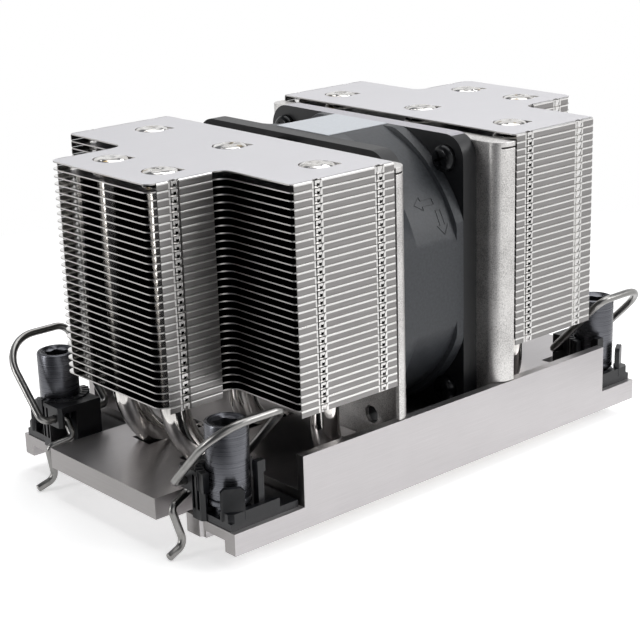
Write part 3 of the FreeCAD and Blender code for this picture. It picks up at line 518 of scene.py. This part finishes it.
def lug(bm, centre, side, turn, depth):
    """One lock of the fin zipper: an ear over a small hole, a tongue under it and a flat on either side."""
    sign = 1 if side > 0 else -1
    out = sign * LUG_PROUD
    low = -depth
    shapes = [
        [(-LUG_HALF, 0.0, -0.1), (-0.86, 0.0, -0.1), (-0.86, 0.0, low), (-LUG_HALF, 0.0, low)],
        [(-0.72, out, -0.12), (0.5, out, -0.12), (0.56, out, -0.52), (0.12, out, -0.66), (-0.3, out, -0.52),
         (-0.34, out, -0.95), (-0.74, out, -0.85)],
        [(-0.74, out, -0.98), (-0.32, out, -1.1), (0.0, out, -1.3), (0.36, out, -1.1), (0.5, 0.0, low),
         (-0.72, 0.0, low)],
        [(0.72, out, -0.2), (LUG_HALF, 0.0, -0.1), (LUG_HALF, 0.0, low), (0.66, 0.0, low), (0.52, out, -0.9)],
    ]
    for shape in shapes:
        face = bm.faces.new([bm.verts.new((centre + turn * x, side + y, z)) for x, y, z in shape])
        # Every face of a lock takes the bends' painted highlight.
        face.material_index = HIGHLIGHT_PART
        thicken(bm, [face], (0, -sign * LIP_SHEET, 0))


def folded_lips(bm, sign_x):
    """All folded edges of a fin, stopped short of its rounded corners, with their locks."""
    shoulder = SHOULDER[sign_x]
    depth = PITCH - LIP_GAP
    runs = [(FAN_FACE[sign_x] + 0.3, shoulder - 0.4, SIDE),
            (shoulder + INNER_CORNER + 0.6, TOWER_END - END_CORNER, NARROW)]
    for sign in (-1, 1):
        for start, end, side in runs:
            lugs = [x for x, y in lug_places(sign_x) if y == side]
            stops = [start] + [x + d for x in lugs for d in (-LUG_HALF, LUG_HALF)] + [end]
            for a, b in zip(stops[0::2], stops[1::2]):
                lip_strip(bm, a, b, sign * side, depth)
            for x in lugs:
                lug(bm, x, sign * side, sign_x, depth)


def one_fin(sign_x, closing):
    """A fin with its plate's upper face at height 0 and its lips folded down. It is made on the +X side."""
    bm = bmesh.new()
    folded_lips(bm, sign_x)
    holes = [teardrop_hole(x, y, sign_x) if closing else round_hole(x, y) for x, y in PIPE_ROWS]
    faces = flat_sheet(bm, fin_outline(sign_x, closing), holes)
    before = set(bm.faces)
    thicken(bm, faces, (0, 0, -SHEET))
    bmesh.ops.recalc_face_normals(bm, faces=bm.faces)
    for face in set(bm.faces) - before:
        if abs(face.normal.z) < 0.5:
            face.material_index = EDGE_PART
    if sign_x < 0:
        bmesh.ops.scale(bm, vec=(-1, 1, 1), verts=bm.verts)
        bmesh.ops.reverse_faces(bm, faces=bm.faces)
    return bm


def fin_stack(side_name, sign_x):
    """All the fins of a tower under its closing fin, as copies of one."""
    stack = bmesh.new()
    fin = one_fin(sign_x, False)
    template = bpy.data.meshes.new("fin_template")
    fin.to_mesh(template)
    fin.free()
    for level in range(FINS - 1):
        before = len(stack.verts)
        stack.from_mesh(template)
        stack.verts.ensure_lookup_table()
        rise = Vector((0, 0, TOP_Z - (level + 1) * PITCH))
        bmesh.ops.translate(stack, vec=rise, verts=stack.verts[before:])
    bpy.data.meshes.remove(template)
    node = side_name + "_fin_stack"
    make_piece(node + "_folded", stack, [FIN, BEND_PAINTED_HIGHLIGHT, LIP_PAINTED_SHADE, EDGE], "cooler", [node])


def top_fin(side_name, sign_x):
    """The closing fin of a tower, with teardrop holes and nicks."""
    bm = one_fin(sign_x, True)
    bmesh.ops.translate(bm, vec=(0, 0, TOP_Z), verts=bm.verts)
    node = side_name + "_top_fin"
    make_piece(node + "_folded", bm, [TOP, BEND_PAINTED_HIGHLIGHT, LIP_PAINTED_SHADE, EDGE], "cooler", [node])


for side_name, sign_x in (("left", -1), ("right", 1)):
    fin_stack(side_name, sign_x)
    top_fin(side_name, sign_x)


# ---------------------------------------------------------------- heat pipes
PIPE_Z = 4.12               # height of the channels in the base
CHANNEL_HALF = 6.0          # half length of the middle run of the outer pipes
CHANNEL_BEND = 15.0
PIPE_TOP = TOP_Z - 0.9
PIPE_PLAY = 0.02            # a pipe is this much thinner than its holes
# For each pipe, where its legs stand, where it crosses the middle of the base, and its bend radius.
PIPES = [(27, -26.5, -16.6, 12.0), (50.2, -8.1, -8.1, 18.0), (27, 0, 0, 12.0), (50.2, 8.1, 8.1, 18.0),
         (27, 26.5, 16.6, 12.0)]
TIP_PROFILE = [(3.52, -0.55), (3.5, -0.2), (3.2, 0.1), (2.5, 0.3), (1.6, 0.36), (0.8, 0.2), (0.0, 0.12)]


def heat_pipe(number, leg_x, leg_y, channel_y, bend):
    """A pipe from the top of one tower down, through the base, and up to the top of the other."""
    points = [(-leg_x, leg_y, PIPE_TOP), (-leg_x, leg_y, PIPE_Z)]
    bends = [bend]
    if channel_y != leg_y:
        points += [(-CHANNEL_HALF, channel_y, PIPE_Z), (CHANNEL_HALF, channel_y, PIPE_Z)]
        bends += [CHANNEL_BEND, CHANNEL_BEND]
    points += [(leg_x, leg_y, PIPE_Z), (leg_x, leg_y, PIPE_TOP)]
    node = "heat_pipe_%d" % number
    tube = bent_tube(points, bends + [bend], PIPE_R - PIPE_PLAY, 28, 6.0)
    make_piece(node + "_bent", tube, [PIPE], "cooler", [node])


def solder_caps():
    """The closed pipe tips with their solder: low uneven domes that fill the holes of the top fins."""
    bm = bmesh.new()
    for sign in (-1, 1):
        for x, y in PIPE_ROWS:
            before = set(bm.verts)
            turn_profile(bm, TIP_PROFILE, 28)
            fresh = list(set(bm.verts) - before)
            bmesh.ops.translate(bm, vec=(sign * x, y, TOP_Z), verts=fresh)
    bmesh.ops.remove_doubles(bm, verts=bm.verts, dist=MERGE)
    bmesh.ops.recalc_face_normals(bm, faces=bm.faces)
    make_piece("pipe_tip_solder", bm, [TIP], "cooler", smooth_deg=60)


for number, pipe in enumerate(PIPES, start=1):
    heat_pipe(number, *pipe)
solder_caps()


# ---------------------------------------------------------------- base
def base_finish(centre, normal):
    """The base's end faces take the darker copy, painted shade; everything else is milled."""
    return int(abs(normal.x) > 0.9)


dressed("base_block", [MILLED, MILLED_END_PAINTED_SHADE], bevel=0.18, choose=base_finish)
dressed("contact_plate", [NICKEL_FACE])

# ---------------------------------------------------------------- brackets and fan
fan_low, fan_high = box_mm("fan_frame")
FLANGE = 3.9                            # thickness of the frame's flanges, and where their inner faces are
FLANGE_IN = (fan_low.x + FLANGE, fan_high.x - FLANGE)
FAN_Z = 37.7
FAN_HALF = 30.0
FAN_FLAT = FAN_HALF - 0.02              # the duct's rings are cut flat just inside the frame's sides
DUCT_R = 31.2
SCREW_AT = 25.0
BRACKET_SLIT = (2, 63.8, 65.05)         # closes the corner relief to a thin slit
# Where each bracket's flange over the fins moves to, so that it still meets the tower.
BRACKET_MOVES = {"left": (0, -16.85, -15.75), "right": (0, 16.85, 17.85)}
ARROW = [(-2.6, 0.0), (-0.6, -1.5), (-0.6, -0.65), (2.6, -0.65), (2.6, 0.65), (-0.6, 0.65), (-0.6, 1.5)]
ARROW_LINE = 0.2                        # width and height of the arrows' outline, and its depth in the duct
ARROW_RISE = 0.16
ARROW_SUNK = 0.05
SCREW_PROFILE = [(2.9, 0.0), (2.9, 0.7), (2.7, 1.25), (2.25, 1.7), (1.9, 1.86)]     # radius and height
SCREW_TURN = 20.0


def clipped_ring(name, pairs):
    """A ring round the fan's axis from pairs of x and radius, cut flat where the duct is."""
    bm = bmesh.new()
    turn_profile(bm, pairs, 160, (1, 0, 0), closed=True)
    for vert in bm.verts:
        vert.co.y = max(-FAN_FLAT, min(FAN_FLAT, vert.co.y))
        vert.co.z = max(-FAN_FLAT, min(FAN_FLAT, vert.co.z))
    bmesh.ops.recalc_face_normals(bm, faces=bm.faces)
    bmesh.ops.translate(bm, vec=(0, 0, FAN_Z), verts=bm.verts)
    make_piece(name, bm, [DUCT], "cooler", smooth_deg=12)


def flow_arrow(name, centre_x, centre_arc, turn_deg):
    """A raised outline of a plain arrow, bent round the duct at a place along it and an angle above its
    near side. It points to -X before it is turned."""
    turn = math.radians(turn_deg)
    bm = bmesh.new()
    face = bm.faces.new([bm.verts.new((x * math.cos(turn) - y * math.sin(turn),
                                       x * math.sin(turn) + y * math.cos(turn), 0)) for x, y in ARROW])
    bmesh.ops.inset_individual(bm, faces=[face], thickness=ARROW_LINE, use_even_offset=True)
    bmesh.ops.delete(bm, geom=[face], context="FACES_ONLY")
    bmesh.ops.subdivide_edges(bm, edges=bm.edges, cuts=2)
    thicken(bm, bm.faces[:], (0, 0, ARROW_RISE))
    for vert in bm.verts:
        angle = math.radians(centre_arc) + vert.co.y / DUCT_R
        reach = DUCT_R - ARROW_SUNK + vert.co.z
        vert.co = Vector((centre_x + vert.co.x, -reach * math.cos(angle), FAN_Z + reach * math.sin(angle)))
    bmesh.ops.recalc_face_normals(bm, faces=bm.faces)
    # The arrow is moulded with the duct; its blackest nylon is painted shade standing for the dark of its
    # lines.
    make_piece(name, bm, [CARRIER], "cooler", smooth_deg=30)


def cross_reach(angle):
    """The radius of a cross recess: four rounded arms."""
    return 0.52 + 1.15 * max(0.0, math.cos(2 * angle) ** 2 - 0.55) / 0.45


def pan_screw(bm, y, z):
    """A pan head with a cross recess, facing -X on the inside of the right flange."""
    before = set(bm.verts)

    def open_edges(low, high):
        return [e for e in bm.edges if e.is_boundary and e.verts[0] not in before
                and all(low < v.co.z < high for v in e.verts)]

    turn_profile(bm, SCREW_PROFILE, 32)
    rim = open_edges(1.8, 1.9)
    cross = lobed_loop(bm, 32, cross_reach, 1.95)
    bmesh.ops.bridge_loops(bm, edges=rim + cross)
    deep = pull(bm, cross, (0, 0, -1.1))
    bmesh.ops.scale(bm, vec=(0.6, 0.6, 1), verts=edge_verts(deep))
    bmesh.ops.contextual_create(bm, geom=deep)
    bmesh.ops.contextual_create(bm, geom=open_edges(-0.1, 0.1))
    place = (Matrix.Translation((FLANGE_IN[1], y, z)) @ Matrix.Rotation(math.radians(-90), 4, "Y")
             @ Matrix.Rotation(math.radians(SCREW_TURN), 4, "Z"))
    bmesh.ops.transform(bm, matrix=place, verts=[v for v in bm.verts if v not in before])


def fan_details():
    """What stands on the duct: its flare, its rib and two arrows. And the heads of the four screws."""
    left, right = FLANGE_IN
    clipped_ring("duct_inlet_flare", [(left - 0.1, 31.0), (left - 0.1, 34.6), (left + 4.0, DUCT_R + 0.03),
                                      (left + 4.0, 31.0)])
    clipped_ring("duct_outlet_rib", [(right - 2.1, 31.0), (right - 1.9, 32.2), (right - 0.2, 32.7),
                                     (right + 0.1, 32.7), (right + 0.1, 31.0)])
    flow_arrow("flow_arrow_x", 1.4, 33.0, 0)
    flow_arrow("turn_arrow", 4.4, 24.5, 90)
    bm = bmesh.new()
    for y in (-SCREW_AT, SCREW_AT):
        for z in (-SCREW_AT, SCREW_AT):
            pan_screw(bm, y, FAN_Z + z)
    bmesh.ops.recalc_face_normals(bm, faces=bm.faces)
    make_piece("fan_screw_heads", bm, [SCREW], "cooler", ["fan_screws"], smooth_deg=30)


def frame_finish(centre, normal):
    """The duct is greyer than its two flanges, whose darker nylon is painted shade, and the top of the right
    one is painted pale as a sheen of light.
    """
    reach = centre.x - (fan_low.x + fan_high.x) / 2
    if abs(reach) < (fan_high.x - fan_low.x) / 2 - FLANGE - 0.1:
        return 0
    return 2 if reach > 0 and normal.z > 0.9 and centre.z > FAN_Z + FAN_HALF - 0.3 else 1


for side_name, move in BRACKET_MOVES.items():
    dressed(side_name + "_fan_bracket", [PLATE], bevel=0.12, smooth_deg=50, moves=[move, BRACKET_SLIT])
# The flanges' darker copy is painted shade; the right flange top's pale copy is a painted sheen.
dressed("fan_frame", [DUCT, FLANGE_PAINTED_SHADE, FLANGE_TOP_PAINTED_SHEEN], bevel=0.18, smooth_deg=12, cuts=FLANGE_IN,
        choose=frame_finish)
fan_details()
dressed("fan_label", [PAPER], bevel=0.0)
dressed("fan_rotor", [ROTOR], "fan_wheel", bevel=0.0)
for node, material in (("fan_shaft", GROUND), ("fan_magnet", FERRITE), ("fan_bearing", BRONZE),
                       ("fan_stator", WINDING), ("fan_circuit_board", BOARD)):
    paint(node, material)

# ---------------------------------------------------------------- corners
CORNERS = {"left_near": (-1, -1), "left_far": (-1, 1), "right_near": (1, -1), "right_far": (1, 1)}
NECK_R = 3.3
BORE_R = 1.8
BORE_DEPTH = 8.8
SOCKET_DEPTH = 6.0
HINGE_Y, HINGE_Z = 22.6, 11.6
WIRE_R = 0.8
# A wire's corners at +X and +Y: journal, bail over the nut, second journal, crank and hook.
WIRE_POINTS = [
    (52.0, HINGE_Y, HINGE_Z), (45.8, HINGE_Y, HINGE_Z), (45.8, 36.8, 26.2), (62.0, 36.8, 26.2),
    (62.0, HINGE_Y, HINGE_Z), (56.5, HINGE_Y, HINGE_Z), (56.5, 19.9, 7.6), (61.8, 21.4, 6.3),
    (60.0, 22.5, -1.3), (64.0, 23.0, -2.7)]
WIRE_BENDS = [1.5, 2.4, 8.0, 1.8, 1.5, 1.3, 1.3, 2.0]
COLLAR_IN, COLLAR_OUT, COLLAR_TOP = 4.6, 6.05, 14.6     # radii and top of the half collar round a nut
RIBS = 11
RIB_START, RIB_STEP = 198.0, 14.4                       # headings of the ribs in degrees
RIB_WIDTH, RIB_HEIGHT, RIB_DROP = 0.42, 4.1, 1.85        # and how far their middle is below the top


def nut_axis(corner):
    """The box of a corner's nut and the middle of it."""
    low, high = box_mm("load_nut_" + corner)
    return low, high, (low + high) / 2


def socket_reach(angle):
    """The radius of a six-lobe socket."""
    return 2.45 + 0.36 * math.cos(6 * angle)


def load_nut(corner):
    """A turned nut post with a neck, a snap groove, a six-lobe socket above and a plain bore below."""
    low, high, centre = nut_axis(corner)
    r = (high.x - low.x) / 2
    bm = bmesh.new()
    turn_profile(bm, [
        (NECK_R, low.z), (NECK_R, 7.6), (r - 0.15, 7.65), (r, 7.8), (r, 8.65), (r - 0.15, 8.8),
        (r - 0.4, 8.85), (r - 0.4, 9.05), (r - 0.1, 9.1), (r, 9.25), (r, high.z - 0.5),
        (r - 0.15, high.z - 0.15), (r - 0.5, high.z), (3.5, high.z), (3.05, high.z - 0.5)], 48)
    rim = [e for e in bm.edges if e.is_boundary and all(v.co.z > centre.z for v in e.verts)]
    star = lobed_loop(bm, 48, socket_reach, high.z - 0.75)
    bmesh.ops.bridge_loops(bm, edges=rim + star)
    bmesh.ops.contextual_create(bm, geom=pull(bm, star, (0, 0, -SOCKET_DEPTH)))
    bore = pull(bm, [e for e in bm.edges if e.is_boundary], (0, 0, 0))
    bmesh.ops.scale(bm, vec=(BORE_R / NECK_R, BORE_R / NECK_R, 1), verts=edge_verts(bore))
    bmesh.ops.contextual_create(bm, geom=pull(bm, bore, (0, 0, BORE_DEPTH)))
    bmesh.ops.recalc_face_normals(bm, faces=bm.faces)
    bmesh.ops.translate(bm, vec=(centre.x, centre.y, 0), verts=bm.verts)
    node = "load_nut_" + corner
    make_piece(node + "_turned", bm, [NUT], "nut_" + corner, [node])


def tilt_wire(corner, sign_x, sign_y):
    """A bent spring wire, mirrored from the corner at +X and +Y."""
    points = [(x * sign_x, y * sign_y, z) for x, y, z in WIRE_POINTS]
    bm = bent_tube(points, WIRE_BENDS, WIRE_R, 16, 9.0, 0.25)
    node = "anti_tilt_wire_" + corner
    make_piece(node + "_drawn", bm, [WIRE], "wire_" + corner, [node])


def collar_ribs(corner, sign_x, sign_y):
    """Thin ribs that stand on the half collar round the nut, and the small boss of the floor."""
    centre = nut_axis(corner)[2]
    bm = bmesh.new()
    for k in range(RIBS):
        made = bmesh.ops.create_cube(bm, size=1)["verts"]
        bmesh.ops.scale(bm, vec=(COLLAR_OUT - COLLAR_IN + 0.1, RIB_WIDTH, RIB_HEIGHT), verts=made)
        bmesh.ops.translate(bm, vec=((COLLAR_OUT + COLLAR_IN) / 2 + 0.15, 0, COLLAR_TOP - RIB_DROP),
                            verts=made)
        heading = math.radians(RIB_START + RIB_STEP * k)
        bmesh.ops.rotate(bm, cent=(0, 0, 0), matrix=Matrix.Rotation(heading, 3, "Z"), verts=made)
    bmesh.ops.create_cone(bm, cap_ends=True, segments=20, radius1=0.75, radius2=0.6, depth=0.9,
                          matrix=Matrix.Translation((3.3, 4.1, 6.4)))
    bmesh.ops.scale(bm, vec=(sign_x, sign_y, 1), verts=bm.verts)
    bmesh.ops.translate(bm, vec=(centre.x, centre.y, 0), verts=bm.verts)
    bmesh.ops.recalc_face_normals(bm, faces=bm.faces)
    add_bevel(make_piece("collar_ribs_" + corner, bm, [CARRIER], "cooler"), 0.1)


for corner, signs in CORNERS.items():
    collar_ribs(corner, *signs)
    load_nut(corner)
    tilt_wire(corner, *signs)
    dressed("nut_carrier_" + corner, [CARRIER])
    paint("retaining_ring_" + corner, RING)


# ---------------------------------------------------------------- stage, lamps and camera
WHITE = (1, 1, 1, 1)
FLOOR_HALF = 3.0
FLOOR_LIFT = 0.5            # light that a camera sees added to the floor, so that its shadow stays pale
FADE = (0.10, 0.22)         # metres from the middle over which the floor turns plain white
MIRROR_FADE = (0.075, 0.12)         # the same as metal mirrors it
SKY = [(0.42, "#ffffff"), (0.62, "#8a8c90"), (1.0, "#6c6e72")]
# What metal mirrors, by heading from -Y towards +X in degrees: grey cards on the left with a light
# strip between them, and white on the other sides.
CARDS = [(-180, "#e8e8e9"), (-163, "#c4c5c6"), (-155, "#ffffff"), (-107, "#ffffff"), (-100, "#5c5d60"),
         (-62, "#4c4d50"), (-46, "#8c8d90"), (-30, "#ffffff"), (150, "#ffffff"), (180, "#e8e8e9")]


def card_colour(tree, direction):
    """The colour of the cards that stand around the stage, by the heading of a direction."""
    parts = add_node(tree, "ShaderNodeSeparateXYZ", links={0: direction}).outputs
    front = add_node(tree, "ShaderNodeMath", {"operation": "MULTIPLY"}, {0: parts[1], 1: -1.0})
    heading = add_node(tree, "ShaderNodeMath", {"operation": "ARCTAN2"}, {0: parts[0], 1: front.outputs[0]})
    share = add_node(tree, "ShaderNodeMapRange", links={
        0: heading.outputs[0], 1: -math.pi, 2: math.pi, 3: 0.0, 4: 1.0})
    stops = [((degrees + 180) / 360, code) for degrees, code in CARDS]
    return add_node(tree, "ShaderNodeValToRGB", {"stops": stops}, {"Fac": share.outputs[0]}).outputs["Color"]


def sight(tree):
    """The light path's outputs, and a factor that is 1 for camera, mirrored and transmitted rays."""
    way = add_node(tree, "ShaderNodeLightPath").outputs
    seen = way["Is Camera Ray"]
    for kind in ("Is Glossy Ray", "Is Transmission Ray"):
        seen = add_node(tree, "ShaderNodeMath", {"operation": "MAXIMUM"}, {0: seen, 1: way[kind]}).outputs[0]
    return way, seen


def white_floor():
    """A pale floor that takes the object's shadow nearby and is plain white further out."""
    material, tree, place = new_material("pale_floor")
    way, seen = sight(tree)
    length = add_node(tree, "ShaderNodeVectorMath", {"operation": "LENGTH"}, {0: place}).outputs["Value"]
    far, close = [add_node(tree, "ShaderNodeMapRange", links={
        0: length, 1: start, 2: end, 3: 0.0, 4: 1.0}).outputs[0] for start, end in (FADE, MIRROR_FADE)]
    far = add_node(tree, "ShaderNodeMix", {"data_type": "FLOAT"}, {
        0: way["Is Glossy Ray"], 2: far, 3: close}).outputs[0]
    share = add_node(tree, "ShaderNodeMath", {"operation": "MULTIPLY"}, {0: far, 1: seen}).outputs[0]
    cloth = add_node(tree, "ShaderNodeBsdfDiffuse", links={"Color": tint("#f4f4f4")}).outputs[0]
    lift = add_node(tree, "ShaderNodeEmission", links={"Color": WHITE, "Strength": FLOOR_LIFT}).outputs[0]
    near = add_node(tree, "ShaderNodeAddShader", links={0: cloth, 1: lift}).outputs[0]
    near = add_node(tree, "ShaderNodeMixShader", links={0: seen, 1: cloth, 2: near}).outputs[0]
    shown = add_node(tree, "ShaderNodeMix", {"data_type": "RGBA"}, {
        0: way["Is Camera Ray"], 6: card_colour(tree, place), 7: WHITE}).outputs[2]
    white = add_node(tree, "ShaderNodeEmission", links={"Color": shown, "Strength": 1.0}).outputs[0]
    mix = add_node(tree, "ShaderNodeMixShader", links={0: share, 1: near, 2: white}).outputs[0]
    add_node(tree, "ShaderNodeOutputMaterial", links={"Surface": mix})
    return material


def make_floor():
    """The floor, at the height of the lowest point of the object."""
    bm = bmesh.new()
    bmesh.ops.create_grid(bm, x_segments=1, y_segments=1, size=FLOOR_HALF)
    mesh = bpy.data.meshes.new("floor")
    bm.to_mesh(mesh)
    bm.free()
    mesh.materials.append(white_floor())
    thing = bpy.data.objects.new("floor", mesh)
    thing.location = (0, 0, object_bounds()[0].z)
    bpy.context.scene.collection.objects.link(thing)


def make_world():
    """White round the horizon, where the camera and mirrors look past the object, and darker overhead."""
    world = bpy.data.worlds.new("studio")
    bpy.context.scene.world = world
    world.use_nodes = True
    tree = world.node_tree
    tree.nodes.clear()
    way, seen = sight(tree)
    heading = add_node(tree, "ShaderNodeTexCoord").outputs["Generated"]
    height = add_node(tree, "ShaderNodeSeparateXYZ", links={0: heading}).outputs[2]
    sky = add_node(tree, "ShaderNodeValToRGB", {"stops": SKY}, {"Fac": height}).outputs["Color"]
    cards = add_node(tree, "ShaderNodeMix", {"data_type": "RGBA", "blend_type": "MULTIPLY"}, {
        0: 1.0, 6: sky, 7: card_colour(tree, heading)}).outputs[2]
    sky = add_node(tree, "ShaderNodeMix", {"data_type": "RGBA"}, {
        0: way["Is Camera Ray"], 6: cards, 7: sky}).outputs[2]
    bright = add_node(tree, "ShaderNodeBackground", links={"Color": sky, "Strength": 1.0}).outputs[0]
    soft = add_node(tree, "ShaderNodeBackground", links={
        "Color": tint("#f4f5f7"), "Strength": 0.24}).outputs[0]
    mix = add_node(tree, "ShaderNodeMixShader", links={0: seen, 1: soft, 2: bright}).outputs[0]
    add_node(tree, "ShaderNodeOutputWorld", links={"Surface": mix})


def make_lamp(name, place, aim, size, power):
    """A rectangular lamp in metres and watts."""
    light = bpy.data.lights.new(name, "AREA")
    light.shape = "RECTANGLE"
    light.size, light.size_y = size
    light.energy = power
    lamp = bpy.data.objects.new(name, light)
    lamp.location = place
    lamp.rotation_euler = (Vector(aim) - Vector(place)).to_track_quat("-Z", "Y").to_euler()
    bpy.context.scene.collection.objects.link(lamp)


def make_camera(azimuth, elevation, roll, distance_mm, target_mm, focal_widths):
    """A camera by the direction it looks from, with its focal length in widths of the frame."""
    a, e = math.radians(azimuth), math.radians(elevation)
    back = Vector((math.sin(a) * math.cos(e), -math.cos(a) * math.cos(e), math.sin(e)))
    data = bpy.data.cameras.new("camera")
    data.sensor_width = 36.0
    data.lens = data.sensor_width * focal_widths
    data.clip_start, data.clip_end = 0.01, 20
    camera = bpy.data.objects.new("camera", data)
    camera.location = Vector(target_mm) * MM + back * distance_mm * MM
    look = (-back).to_track_quat("-Z", "Y").to_matrix().to_4x4()
    camera.rotation_mode = "QUATERNION"
    camera.rotation_quaternion = (look @ Matrix.Rotation(math.radians(roll), 4, "Z")).to_quaternion()
    bpy.context.scene.collection.objects.link(camera)
    bpy.context.scene.camera = camera


make_floor()
make_world()
make_lamp("key", (0.55, -0.75, 0.6), (0, 0, 0.03), (0.6, 0.5), 4.5)
make_lamp("overhead", (0.3, 0.05, 0.9), (0.25, 0.05, 0.03), (1.1, 0.9), 7.4)
make_lamp("left_strip", (-0.76, 0.3, 0.22), (0, 0, 0.03), (0.12, 0.5), 1.6)
make_camera(-40.98, 17.78, -1.74, 356.2, (-3.54, 0.99, 25.09), 2.5521875)
bpy.context.scene.view_settings.view_transform = "Standard"
